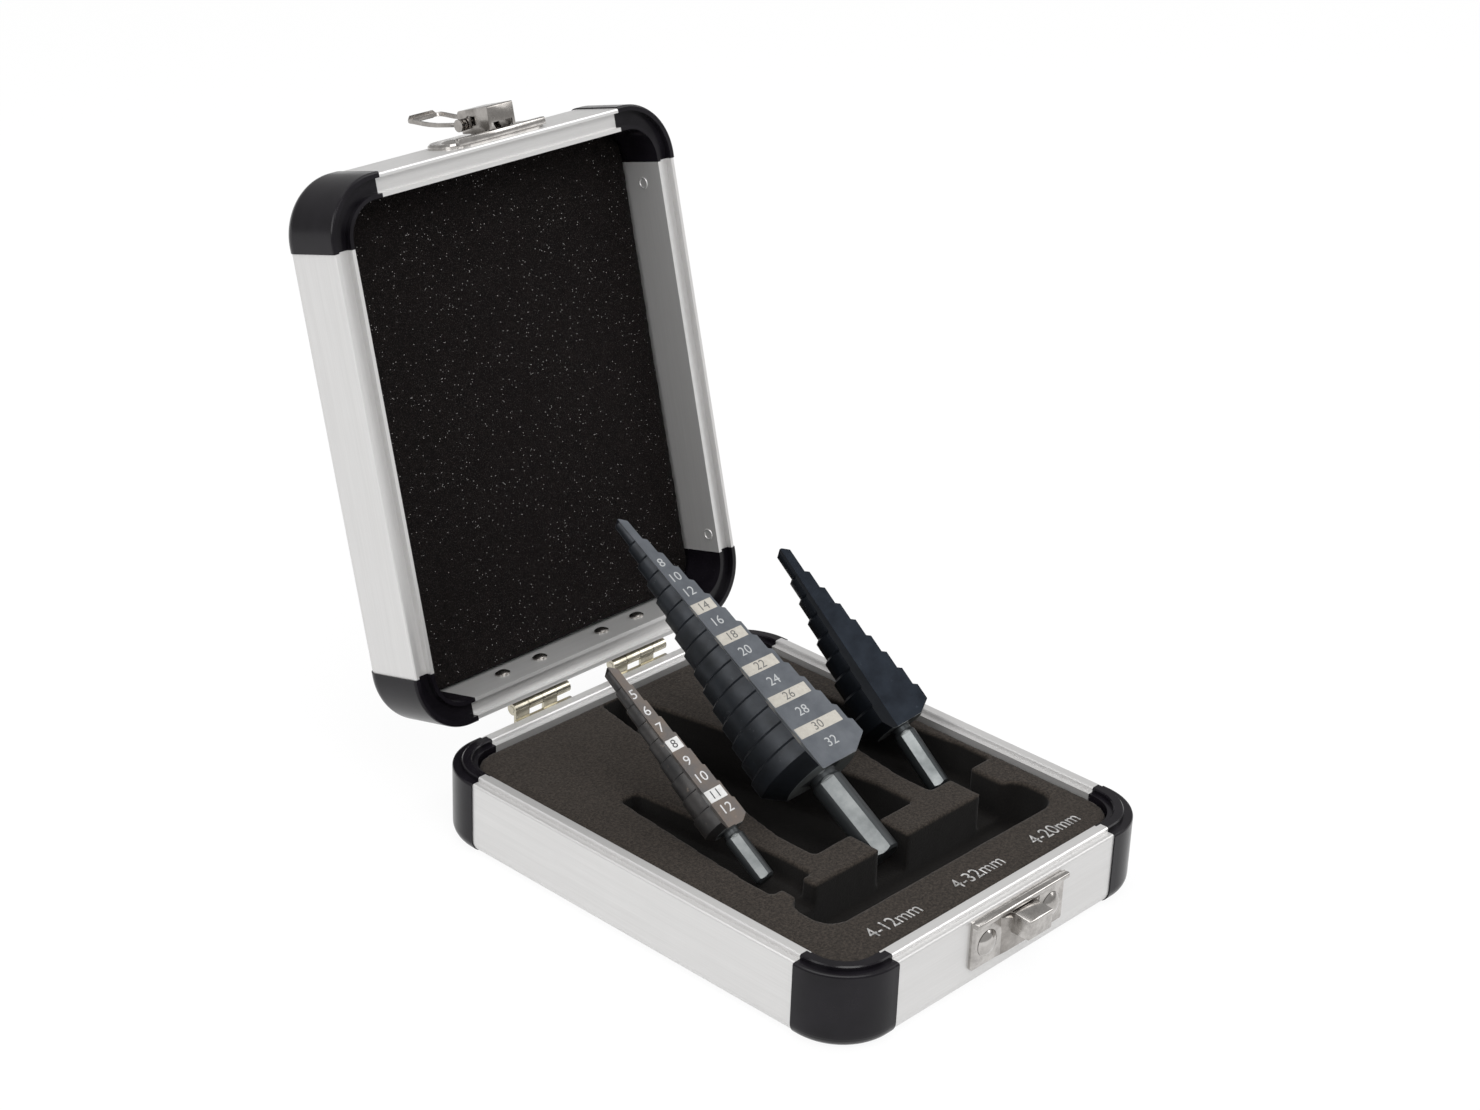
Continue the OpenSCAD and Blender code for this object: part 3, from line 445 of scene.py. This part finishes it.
def drillSteel(name, d):
    a = dict(rough=(0.30, 0.48), nearFlat=0.00012, pastRoot=-0.0001, rings=(0.05, 1.0, 0.05),
             ringScale=5200, ringDetail=4, ringRough=0.65, patchScale=190.0, wearScale=520.0,
             wearShare=0.66, rubShare=0.35, shankEnd=0.15, shankFlats=(124, 244, 4),
             flatDepth=0.9, flatMargin=0.03, bare=(0.165, 0.174, 0.174),
             bareDark=(0.105, 0.113, 0.115), shankRoundShade=(0.030, 0.033, 0.035),
             bump=0.20, depth=0.00003, color=0.38)
    mat, tree, bsdf = newMaterial(name, d["round"], a["color"], d["metal"], d["gloss"])
    place = drillMatrix(d)
    v = coordinates(tree, (math.radians(d["tilt"]), 0, 0), place.translation)
    onFlat = None
    for half in (0, 180):  # near the plane of one of the two numbered flats
        m = place @ spin(half, "Y") @ place.inverted() @ fluteMatrix(d)
        part = separated(tree, coordinates(tree, m.to_euler(), m.translation))
        close = mathNode(tree, "LESS_THAN", mathNode(tree, "ABSOLUTE", part[2]), a["nearFlat"])
        side = mathNode(tree, "GREATER_THAN", part[0], a["pastRoot"])
        mask = mathNode(tree, "MULTIPLY", close, side)
        onFlat = mask if onFlat is None else mathNode(tree, "MAXIMUM", onFlat, mask)
    rings = vectorNode(tree, "MULTIPLY", v, a["rings"]).outputs[0]
    turned = noiseNode(tree, rings, a["ringScale"], a["ringDetail"], a["ringRough"])
    p = groupNode(tree, patches, v, Scale=a["patchScale"])
    w = groupNode(tree, wear, v, Scale=a["wearScale"], Share=a["wearShare"])
    roundPart = mixColor(tree, p["Mask"], d["round"], d["roundDark"])
    flatPart = mixColor(tree, p["Mask"], d["flat"], d["flatDark"])
    base = mixColor(tree, onFlat, roundPart, flatPart)
    base = mixColor(tree, shareOf(tree, w["Mask"], a["rubShare"]), base, d["rub"])
    facing = None  # distance from the axis towards the nearest of the shank's three flats
    for degrees in a["shankFlats"]:
        r = math.radians(degrees)
        dot = vectorNode(tree, "DOT_PRODUCT", v, (math.cos(r), 0, math.sin(r))).outputs["Value"]
        facing = dot if facing is None else mathNode(tree, "MAXIMUM", facing, dot)
    ground = mathNode(tree, "GREATER_THAN", facing,
                      (d["shank"] / 2 * a["flatDepth"] - a["flatMargin"]) * mm)
    # painted shade: the shank's round part, bare steel like its flats, is painted much darker
    steel = mixColor(tree, p["Mask"], a["bare"], a["bareDark"])
    steel = mixColor(tree, ground, a["shankRoundShade"], steel)
    onShank = mathNode(tree, "LESS_THAN", separated(tree, v)[1],
                       (d["shankLength"] - a["shankEnd"]) * mm)
    link(tree, mixColor(tree, onShank, base, steel), bsdf.inputs["Base Color"])
    both = mathNode(tree, "ADD", turned, p["Mask"])
    link(tree, rangeNode(tree, both, 0, 2, *a["rough"]), bsdf.inputs["Roughness"])
    bumpTo(tree, bsdf, turned, a["bump"], a["depth"])
    return mat


steels = dict(large=drillSteel("coatedSteelLarge", drills["large"]),
              medium=drillSteel("coatedSteelMedium", drills["medium"]),
              small=drillSteel("bronzedSteelSmall", drills["small"]))

for name, obj in nodes.items():
    if name.endswith("extrusion"):
        side = "left" in name or "right" in name
        paint(obj, (aluLidY if name.startswith("lid") else aluAlongY) if side else aluAlongX)
    elif name.endswith("panel"):
        paint(obj, sheet)
    elif "corner" in name:
        paint(obj, corner)
    elif name.startswith("hinge") and "rivets" not in name:
        paint(obj, hingeMetal)
    elif name.startswith("step_drill"):
        paint(obj, steels[name.split("_")[-1]])
    elif name == "foam_insert":
        paint(obj, foam)
    elif name == "lid_sponge":
        paint(obj, sponge)
    elif name in ("latch_plate", "latch_rivets", "strike_plate", "strike_rivets"):
        paint(obj, litNickel)
    else:
        paint(obj, shadedNickel)
print("materials made")


def copyOfNode(node, name):
    obj = nodes[node].copy()
    obj.data = nodes[node].data.copy()
    obj.name = name
    obj.parent = None
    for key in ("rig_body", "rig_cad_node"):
        if key in obj:
            del obj[key]
    bpy.context.scene.collection.objects.link(obj)
    only(obj)
    bpy.ops.object.mode_set(mode="EDIT")
    bpy.ops.mesh.select_all(action="SELECT")
    bpy.ops.mesh.remove_doubles(threshold=0.01 * mm)
    bpy.ops.mesh.normals_make_consistent(inside=False)
    bpy.ops.object.mode_set(mode="OBJECT")
    return obj


def softened(obj, s):
    remesh = obj.modifiers.new("remesh", "REMESH")
    remesh.mode = "VOXEL"
    remesh.voxel_size = s["voxel"]
    smooth = obj.modifiers.new("smooth", "SMOOTH")
    smooth.factor = 0.5
    smooth.iterations = s["smooth"]
    tex = bpy.data.textures.new(obj.name + "Swell", "CLOUDS")
    tex.noise_scale = s["swellSize"]
    swell = obj.modifiers.new("swell", "DISPLACE")
    swell.texture = tex
    swell.texture_coords = "GLOBAL"
    swell.strength = s["swell"]
    swell.mid_level = 0.5
    applyModifiers(obj)
    bpy.ops.object.shade_smooth()
    return obj


foamSize = dict(voxel=0.00066, smooth=1, swellSize=0.012, swell=0.0003)  # metres
foamPiece = softened(copyOfNode("foam_insert", "foamInsert"), foamSize)
paint(foamPiece, foam)
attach(foamPiece, "base")
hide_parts("foam_insert")

spongeSize = dict(voxel=0.0011, smooth=4, swellSize=0.02, swell=0.0006)  # metres
spongePiece = softened(copyOfNode("lid_sponge", "lidSponge"), spongeSize)
paint(spongePiece, sponge)
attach(spongePiece, "lid")
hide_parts("lid_sponge")
print("foam and sponge made", len(foamPiece.data.polygons), len(spongePiece.data.polygons))


def blockAt(low, high):  # corners in millimetres
    deselect()
    size = [(h - l) * mm for l, h in zip(low, high)]
    middle = [(h + l) / 2 * mm for l, h in zip(low, high)]
    bpy.ops.mesh.primitive_cube_add(size=1, location=middle)
    obj = bpy.context.object
    obj.scale = size
    return applyAll(obj)


def barAt(radius, x0, x1, y=0, z=0):  # along X, in millimetres
    deselect()
    bpy.ops.mesh.primitive_cylinder_add(
        radius=radius * mm, depth=(x1 - x0) * mm, vertices=32,
        location=((x0 + x1) / 2 * mm, y * mm, z * mm), rotation=(0, math.pi / 2, 0))
    return applyAll(bpy.context.object)


def pick(obj, kind, test):  # in edit mode, selects what lies where the test says, in millimetres
    only(obj)
    bpy.ops.object.mode_set(mode="EDIT")
    bpy.ops.mesh.select_all(action="DESELECT")
    bpy.ops.mesh.select_mode(type=kind)
    bm = bmesh.from_edit_mesh(obj.data)
    for part in (bm.edges if kind == "EDGE" else bm.verts):
        ends = part.verts if kind == "EDGE" else [part]
        part.select_set(all(test(v.co / mm) for v in ends))
    bm.select_flush_mode()
    bmesh.update_edit_mesh(obj.data)


def bevelEdges(obj, test, width, segments=3):
    pick(obj, "EDGE", test)
    bpy.ops.mesh.bevel(offset=width * mm, segments=segments, affect="EDGES")
    bpy.ops.object.mode_set(mode="OBJECT")


def moveVerts(obj, test, by):
    pick(obj, "VERT", test)
    bpy.ops.transform.translate(value=[b * mm for b in by])
    bpy.ops.object.mode_set(mode="OBJECT")


def cutBy(obj, cutters, operation="DIFFERENCE"):
    for cutter in cutters:
        cut = obj.modifiers.new("cut", "BOOLEAN")
        cut.operation = operation
        cut.solver = "EXACT"
        cut.object = cutter
        applyModifiers(obj)
        bpy.data.objects.remove(cutter, do_unlink=True)
    return obj


def rounded(obj, width, angle=40, segments=2):  # small radius on the folded edges
    b = obj.modifiers.new("edges", "BEVEL")
    b.width = width * mm
    b.segments = segments
    b.limit_method = "ANGLE"
    b.angle_limit = math.radians(angle)
    applyModifiers(obj)
    only(obj)
    bpy.ops.object.shade_smooth_by_angle(angle=math.radians(32))
    return obj


def finished(obj, name, matrix, body, mat):
    obj.name = name
    placed(obj, matrix)
    paint(obj, mat)
    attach(obj, body)
    return obj


atBase = Matrix.Identity(4)
sheetRound = 0.12  # radius left on cut sheet
atPin = openTurn @ shift(2.5, -74.2, 31.7)  # X along the pin, Y into the lid, Z to its top

lever = dict(low=(-4.3, -4.3, -9.5), high=(4.3, 2.4, 2.4), drop=1.0, lean=-0.2,
             roofEdge=0.9, frontEdge=0.4, roomLow=(-3.5, -3.5, -8.7), roomHigh=(3.5, 3.5, 1.6),
             hole=1.0, holeReach=6, edge=0.22, edgeAngle=50)
hood = blockAt(lever["low"], lever["high"])
moveVerts(hood, lambda c: c.y < -4 and c.z > 2, (0, lever["drop"], lever["lean"]))
bevelEdges(hood, lambda c: c.y < -3 and c.z > 2, lever["roofEdge"], 4)
bevelEdges(hood, lambda c: c.y < -4 and c.z < -9, lever["frontEdge"])
inside = blockAt(lever["roomLow"], lever["roomHigh"])
moveVerts(inside, lambda c: c.y < -3 and c.z > 1, (0, lever["drop"], 0))
cutBy(hood, [inside,
             blockAt((-3.45, -0.1, -10), (3.45, 3.2, -8)),  # front lip covers the upper part only
             blockAt((-5, 1.55, -10.2), (5, 3.3, -7.6)),  # step over the plate's fold
             blockAt((-3.4, 0.2, 0.4), (3.4, 3.1, 3.3)),  # open below the skin at the back
             blockAt((-5.1, 1.5, 1.3), (5.1, 3.4, 3.6)),  # clears the plate at the back
             blockAt((-6, -1.9, -4.4), (6, 0.3, -1.9)),  # windows in the side walls
             barAt(lever["hole"], -lever["holeReach"], lever["holeReach"])])
rounded(hood, lever["edge"], lever["edgeAngle"], 3)
finished(hood, "latchLever", atPin, "lever", shadedNickel)
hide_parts("latch_lever")

bail = dict(armIn=4.6, armOut=5.4, reach=20.4, bar=1.4, thick=1.0, boss=1.5, rest=3.0, hole=1.0,
            tail=1, spare=1, outerCorner=1.5, innerCorner=0.8, rings=(6, 10, 13, 15, 17, 18.5, 20),
            dip=0.45, dipFrom=3, dipLength=15, rise=0.35, riseFrom=15, riseLength=6.8)
armIn, armOut = bail["armIn"], bail["armOut"]
wire = blockAt((-armOut, -bail["thick"] / 2, -bail["tail"]),
               (armOut, bail["thick"] / 2, bail["reach"] + bail["bar"]))
bevelEdges(wire, lambda c: abs(c.x) > 4 and c.z > 15, bail["outerCorner"], 5)
opening = blockAt((-armIn, -2, -bail["tail"] - bail["spare"]), (armIn, 2, bail["reach"]))
bevelEdges(opening, lambda c: abs(c.x) > 4 and c.z > 15, bail["innerCorner"], 4)
cutBy(wire, [opening])
cutBy(wire, [barAt(bail["boss"], x0, x1) for x0, x1 in ((-armOut, -armIn), (armIn, armOut))],
      "UNION")
cutBy(wire, [barAt(bail["hole"], -8, 8)])
only(wire)  # rings along the arms let them bend
for z in bail["rings"]:
    bpy.ops.object.mode_set(mode="EDIT")
    bpy.ops.mesh.select_all(action="SELECT")
    bpy.ops.mesh.bisect(plane_co=(0, 0, z * mm), plane_no=(0, 0, 1))
    bpy.ops.object.mode_set(mode="OBJECT")
for v in wire.data.vertices:  # the arms dip, the tip turns up
    z = v.co.z / mm
    if z > bail["dipFrom"]:
        along = min(1, (z - bail["dipFrom"]) / bail["dipLength"])
        up = max(0, (z - bail["riseFrom"]) / bail["riseLength"])
        v.co.y += (bail["dip"] * math.sin(math.pi * along) - bail["rise"] * up ** 2) * mm
rounded(wire, sheetRound)
finished(wire, "latchBail", atPin @ spin(bail["rest"], "X"), "bail", shadedNickel)
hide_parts("latch_bail")

latchFold = dict(low=(-12.0, -72.5, 22.5), high=(17.0, -70.6, 23.95), edge=0.35)  # closed lid
plateFold = blockAt(latchFold["low"], latchFold["high"])
bevelEdges(plateFold, lambda c: c.y < -72, latchFold["edge"])
rounded(plateFold, sheetRound)
finished(plateFold, "latchPlateFold", openTurn, "lid", litNickel)

strike = dict(x=2.5, face=-70.0, low=(-17.0, -2.6, 17.9), high=(17.0, -0.6, 19.3), edge=0.4)


def strikeBlock(s):  # x from the strike's middle, y from the case's front, z from the floor
    corners = [(strike["x"] + c[0], strike["face"] + c[1], c[2]) for c in (s["low"], s["high"])]
    return blockAt(*corners)


topFold = strikeBlock(strike)
bevelEdges(topFold, lambda c: c.y < -72, strike["edge"])
rounded(topFold, sheetRound)
finished(topFold, "strikeTopFold", atBase, "base", litNickel)

bridge = dict(low=(-8.2, -2.7, 6.0), high=(8.2, -0.8, 17.4), inward=4.2, upper=-1.4,
              lower=(0, 0.9, 0.6), backTop=-0.4, edge=0.5, round=0.10)
press = strikeBlock(bridge)
moveVerts(press, lambda c: c.y < -72 and c.x < 0, (bridge["inward"], 0, 0))
moveVerts(press, lambda c: c.y < -72 and c.x > 0, (-bridge["inward"], 0, 0))
moveVerts(press, lambda c: c.y < -72 and c.z > 16, (0, 0, bridge["upper"]))
moveVerts(press, lambda c: c.y < -72 and c.z < 8, bridge["lower"])
moveVerts(press, lambda c: c.z > 17 and c.y > -71, (0, 0, bridge["backTop"]))
bevelEdges(press, lambda c: c.y < -71.5, bridge["edge"])
rounded(press, bridge["round"])
# the press takes the darker nickel copy: painted shade round the nose
finished(press, "strikePress", atBase, "base", shadedNickel)

nose = dict(low=(-4.3, -7.6, 11.95), high=(4.3, -0.8, 17.8), slope=0.8, edge=0.4)
hook = strikeBlock(nose)  # the bail closes round it
moveVerts(hook, lambda c: c.y < -77 and c.z > 17, (0, 0, -nose["slope"]))
bevelEdges(hook, lambda c: c.y < -77, nose["edge"])
rounded(hook, sheetRound)
finished(hook, "strikeNose", atBase, "base", litNickel)


def domeAt(radius, height, matrix, name, body, mat):  # cap of a sphere on the XY plane, top at +Z
    deselect()
    ball = (radius * radius + height * height) / (2 * height)
    bpy.ops.mesh.primitive_uv_sphere_add(segments=32, ring_count=32, radius=ball * mm,
                                         location=(0, 0, (height - ball) * mm))
    obj = applyAll(bpy.context.object)
    bpy.ops.object.mode_set(mode="EDIT")
    bpy.ops.mesh.select_all(action="SELECT")
    bpy.ops.mesh.bisect(plane_co=(0, 0, 0), plane_no=(0, 0, 1), clear_inner=True, use_fill=True)
    bpy.ops.object.mode_set(mode="OBJECT")
    bpy.ops.object.shade_smooth_by_angle(angle=math.radians(50))
    return finished(obj, name, matrix, body, mat)


def rivetSpots(node, matrix):  # middle x, lowest y and middle z of each rivet, lid closed
    back = matrix.inverted()
    points = sorted(((back @ v.co) / mm for v in nodes[node].data.vertices), key=lambda c: c.x)
    rivets = [[points[0]]]
    for c in points[1:]:
        if c.x - rivets[-1][-1].x > 2:  # wider than any gap inside one rivet
            rivets.append([])
        rivets[-1].append(c)
    return [((g[0].x + g[-1].x) / 2, min(c.y for c in g),
             (min(c.z for c in g) + max(c.z for c in g)) / 2) for g in rivets]


hingeDome = dict(radius=2.1, height=0.8, sunk=0.05)
for i, (x, y, z) in enumerate(rivetSpots("hinge_rivets_lid", openTurn), 1):
    domeAt(hingeDome["radius"], hingeDome["height"],
           openTurn @ shift(x, y + hingeDome["sunk"], z) @ spin(90, "X"),
           "hingeRivetDome" + str(i), "lid", shadedNickel)

strikeDome = dict(radius=3.5, height=1.5, seat=-71.2)
for i, (x, y, z) in enumerate(rivetSpots("strike_rivets", atBase), 1):
    domeAt(strikeDome["radius"], strikeDome["height"],
           shift(x, strikeDome["seat"], z) @ spin(90, "X"),
           "strikeRivetDome" + str(i), "base", litNickel)

crimps = dict(x=51.0, radius=1.35, ring=0.28, low=0.7, spots=((-48.1, 27.1), (48.8, 23.4)))
crimpSpots = [(side, y, z) for y, z in crimps["spots"] for side in (-1, 1)]
for i, (side, y, z) in enumerate(crimpSpots, 1):
    deselect()
    bpy.ops.mesh.primitive_torus_add(
        major_radius=crimps["radius"] * mm, minor_radius=crimps["ring"] * mm,
        major_segments=32, minor_segments=10, rotation=(0, math.pi / 2, 0))
    ring = applyAll(bpy.context.object)
    ring.data.transform(Matrix.Diagonal((crimps["low"], 1, 1, 1)))
    only(ring)
    bpy.ops.object.shade_smooth()
    finished(ring, "crimp" + str(i), openTurn @ shift(side * crimps["x"], y, z),
             "lid", aluLidY)
print("latch, strike and rivets made")


def inkMaterial(name, color, roughness):
    a = dict(wearScale=1600.0, wearFrom=0.60, wearShare=0.5, patchScale=700.0, patchShare=0.35,
             worn=0.62, grain=2500, grainDetail=3, bump=0.1, depth=0.00001)
    mat, tree, bsdf = newMaterial(name, color, roughness)
    v = coordinates(tree)
    w = groupNode(tree, wear, v, Scale=a["wearScale"], Share=a["wearFrom"])
    p = groupNode(tree, patches, v, Scale=a["patchScale"])
    worn = tuple(c * a["worn"] for c in color)
    base = mixColor(tree, shareOf(tree, p["Mask"], a["patchShare"]), color, worn)
    base = mixColor(tree, shareOf(tree, w["Mask"], a["wearShare"]), base, worn)
    link(tree, base, bsdf.inputs["Base Color"])
    bumpTo(tree, bsdf, noiseNode(tree, v, a["grain"], a["grainDetail"]), a["bump"], a["depth"])
    return mat


def flatText(body, size, thick):
    deselect()
    bpy.ops.object.text_add(location=(0, 0, 0))
    obj = bpy.context.object
    obj.data.body = body
    obj.data.size = size
    obj.data.extrude = thick / 2
    obj.data.align_x = "CENTER"
    obj.data.align_y = "CENTER"
    obj.data.resolution_u = 4
    bpy.ops.object.convert(target="MESH")
    return bpy.context.object


def widthOf(obj):
    across = [v.co.x for v in obj.data.vertices]
    return max(across) - min(across)


def plateAt(width, height, corner, thick):
    deselect()
    bpy.ops.mesh.primitive_plane_add(size=1)
    obj = bpy.context.object
    obj.scale = (width, height, 1)
    bpy.ops.object.transform_apply(scale=True)
    bpy.ops.object.mode_set(mode="EDIT")
    bpy.ops.mesh.select_all(action="SELECT")
    bpy.ops.mesh.bevel(offset=corner, affect="VERTICES", segments=3)
    bpy.ops.mesh.select_all(action="SELECT")
    bpy.ops.mesh.extrude_region_move(TRANSFORM_OT_translate=dict(value=(0, 0, thick)))
    bpy.ops.mesh.select_all(action="SELECT")
    bpy.ops.mesh.normals_make_consistent(inside=False)
    bpy.ops.object.mode_set(mode="OBJECT")
    return obj


def joined(pieces, name):
    deselect()
    for piece in pieces:
        piece.select_set(True)
    bpy.context.view_layer.objects.active = pieces[0]
    bpy.ops.object.join()
    obj = bpy.context.object
    obj.name = name
    return obj


def flatWidth(d, station, radius):  # from the flute's root to the edge of the step
    share = (station - d["shankLength"] + flute["before"]) / (d["length"] - d["shankLength"])
    rx = d["big"] * flute["root"][0] * (1 - share) - flute["tip"] / 2 * share
    rz = d["big"] * flute["root"][1] * (1 - share) + flute["tip"] * share
    a = math.radians(flute["angle"])
    dot = rx * math.cos(a) + rz * math.sin(a)
    return -dot + math.sqrt(dot * dot - rx * rx - rz * rz + radius * radius)


# shares are of a step's length or of the flat's width, the rest is in millimetres
marks = dict(digitThick=0.02, plateThick=0.02, lift=0.004, digitShare=0.50, capHeight=1.42,
             room=0.80, digitAcross=0.44, plateShare=0.62, plateWide=0.88, plateAcross=0.47,
             plateCorner=0.12, plateDigitShare=0.46, plateDigitAcross=0.46, firstMiddle=3.0,
             stepBevel=0.4, digitRough=0.5, plateRough=0.42, small=dict(plateDigitShare=0.44))
for kind, d in drills.items():
    if not d["numbers"]:
        continue
    own = dict(marks, **marks.get(kind, {}))
    steps = int(round((d["big"] - flute["leastDiameter"]) / d["step"])) + 1
    fluted = d["length"] - d["shankLength"] - flute["point"]
    pitch = fluted / (steps + d["wideMore"] + d["tipMore"])
    frameOfFlat = fluteMatrix(d)
    groups = dict(digits=[], plates=[], plateDigits=[])
    for value in d["numbers"] + d["plates"]:
        i = round((d["big"] - value) / d["step"])
        start = own["firstMiddle"]
        if i:
            start = pitch * (d["wideMore"] + i) + d["step"] * own["stepBevel"]
        start += d["shankLength"]
        middle = (start + d["shankLength"] + pitch * (d["wideMore"] + i + 1)) / 2
        width = flatWidth(d, middle, value / 2)
        boxed = value in d["plates"]
        along = middle - d["shankLength"] + flute["before"]
        share = own["plateDigitShare" if boxed else "digitShare"]
        text = flatText(str(value), pitch * share * own["capHeight"] * mm, own["digitThick"] * mm)
        squeeze = min(1.0, width * mm * own["room"] / widthOf(text))
        lift = own["lift"] + own["digitThick"] / 2 + (own["plateThick"] if boxed else 0)
        across = width * own["plateDigitAcross" if boxed else "digitAcross"]
        text.data.transform(Matrix.Diagonal((squeeze, squeeze, 1, 1)))
        placed(text, frameOfFlat @ shift(across, along, lift))
        groups["plateDigits" if boxed else "digits"].append(text)
        if boxed:
            plate = plateAt(width * own["plateWide"] * mm, pitch * own["plateShare"] * mm,
                            own["plateCorner"] * mm, own["plateThick"] * mm)
            placed(plate, frameOfFlat @ shift(width * own["plateAcross"], along, own["lift"]))
            groups["plates"].append(plate)
    for group, key, rough in (("digits", "digit", "digitRough"), ("plates", "plate", "plateRough"),
                              ("plateDigits", "plateDigit", "digitRough")):
        name = kind + group[0].upper() + group[1:]
        obj = joined(groups[group], name)
        paint(obj, inkMaterial(name + "Ink", d[key], own[rough]))
        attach(obj, d["body"])
print("drill numbers made")

prints = dict(size=5.72, thick=0.06, y=-57.0, above=0.2, lift=0.03, color=(0.66, 0.655, 0.65),
              rough=0.6, words=(("4-12mm", -26.4, 17.2), ("4-32mm", 3.95, 17.3),
                                ("4-20mm", 33.15, 17.3)))  # middle and width of each
foamPrints = []
for body, x, width in prints["words"]:
    text = flatText(body, prints["size"] * mm, prints["thick"] * mm)
    text.data.transform(Matrix.Diagonal((width * mm / widthOf(text), 1, 1, 1)))
    foamPrints.append(placed(text, shift(x, prints["y"], case["foamTop"] + prints["above"])))
foamPrint = joined(foamPrints, "foamPrint")
wrap = foamPrint.modifiers.new("onFoam", "SHRINKWRAP")
wrap.target = foamPiece
wrap.wrap_method = "NEAREST_SURFACEPOINT"
wrap.offset = prints["lift"] * mm
applyModifiers(foamPrint)
paint(foamPrint, inkMaterial("foamPrintInk", prints["color"], prints["rough"]))
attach(foamPrint, "base")
print("foam prints made")

view = dict(at=(-0.4688, -0.4122, 0.3839), aim=(0.0856, 0.0986, 0.020), roll=2.147, lens=70.79,
            sensor=36, near=0.01, far=50)
bpy.ops.object.camera_add(location=view["at"])
cam = bpy.context.object
cam.name = "camera"
cam.data.lens = view["lens"]
cam.data.sensor_width = view["sensor"]
look = (Vector(view["aim"]) - Vector(view["at"])).normalized()
right = look.cross(Vector((0, 0, 1))).normalized()
up = right.cross(look)
r = math.radians(view["roll"])
right = math.cos(r) * right + math.sin(r) * up
up = right.cross(look)
cam.matrix_world = (Matrix.Translation(view["at"])
                    @ Matrix((right, up, -look)).transposed().to_4x4())
cam.data.clip_start = view["near"]
cam.data.clip_end = view["far"]
bpy.context.scene.camera = cam

lights = dict(
    key=dict(at=(-0.5, -0.9, 1.3), size=0.9, power=16),
    left=dict(at=(-1.3, 0.1, 0.9), size=0.9, power=10),
    right=dict(at=(1.0, -0.6, 0.9), size=0.9, power=7),
    top=dict(at=(0.0, 0.2, 1.6), size=1.2, power=12))
middleOfCase = Vector((0, 0.03, 0.06))
for name, l in lights.items():
    bpy.ops.object.light_add(type="AREA", location=l["at"])
    lamp = bpy.context.object
    lamp.name = name + "Light"
    lamp.data.size = l["size"]
    lamp.data.energy = l["power"]
    lamp.rotation_euler = (middleOfCase - Vector(l["at"])).to_track_quat("-Z", "Y").to_euler()

ground = dict(size=8, color=(0.86, 0.86, 0.86), rough=0.7, glow=0.92)
bpy.ops.mesh.primitive_plane_add(size=ground["size"], location=(0, 0, 0))
floor = bpy.context.object
floor.name = "floor"
floorMat, tree, bsdf = newMaterial("paleFloor", ground["color"], ground["rough"])
path = tree.nodes.new("ShaderNodeLightPath")
white = tree.nodes.new("ShaderNodeEmission")
white.inputs["Strength"].default_value = 1.0
mixShader = tree.nodes.new("ShaderNodeMixShader")
seen = mathNode(tree, "MAXIMUM", path.outputs["Is Camera Ray"], path.outputs["Is Glossy Ray"])
link(tree, mathNode(tree, "MULTIPLY", seen, ground["glow"]), mixShader.inputs[0])
link(tree, bsdf.outputs[0], mixShader.inputs[1])
link(tree, white.outputs[0], mixShader.inputs[2])
link(tree, mixShader.outputs[0], tree.nodes["Material Output"].inputs["Surface"])
paint(floor, floorMat)

studio = dict(color=(0.81, 0.805, 0.80), strength=0.55)
world = bpy.data.worlds.new("studio")
bpy.context.scene.world = world
world.use_nodes = True
tree = world.node_tree
back = tree.nodes["Background"]
back.inputs["Color"].default_value = (*studio["color"], 1)
back.inputs["Strength"].default_value = studio["strength"]
whiteBack = tree.nodes.new("ShaderNodeBackground")
whiteBack.inputs["Color"].default_value = (1, 1, 1, 1)
path = tree.nodes.new("ShaderNodeLightPath")
mixShader = tree.nodes.new("ShaderNodeMixShader")
link(tree, path.outputs["Is Camera Ray"], mixShader.inputs[0])
link(tree, back.outputs[0], mixShader.inputs[1])
link(tree, whiteBack.outputs[0], mixShader.inputs[2])
link(tree, mixShader.outputs[0], tree.nodes["World Output"].inputs["Surface"])
bpy.context.scene.view_settings.view_transform = "Standard"
print("camera, lamps and floor made")
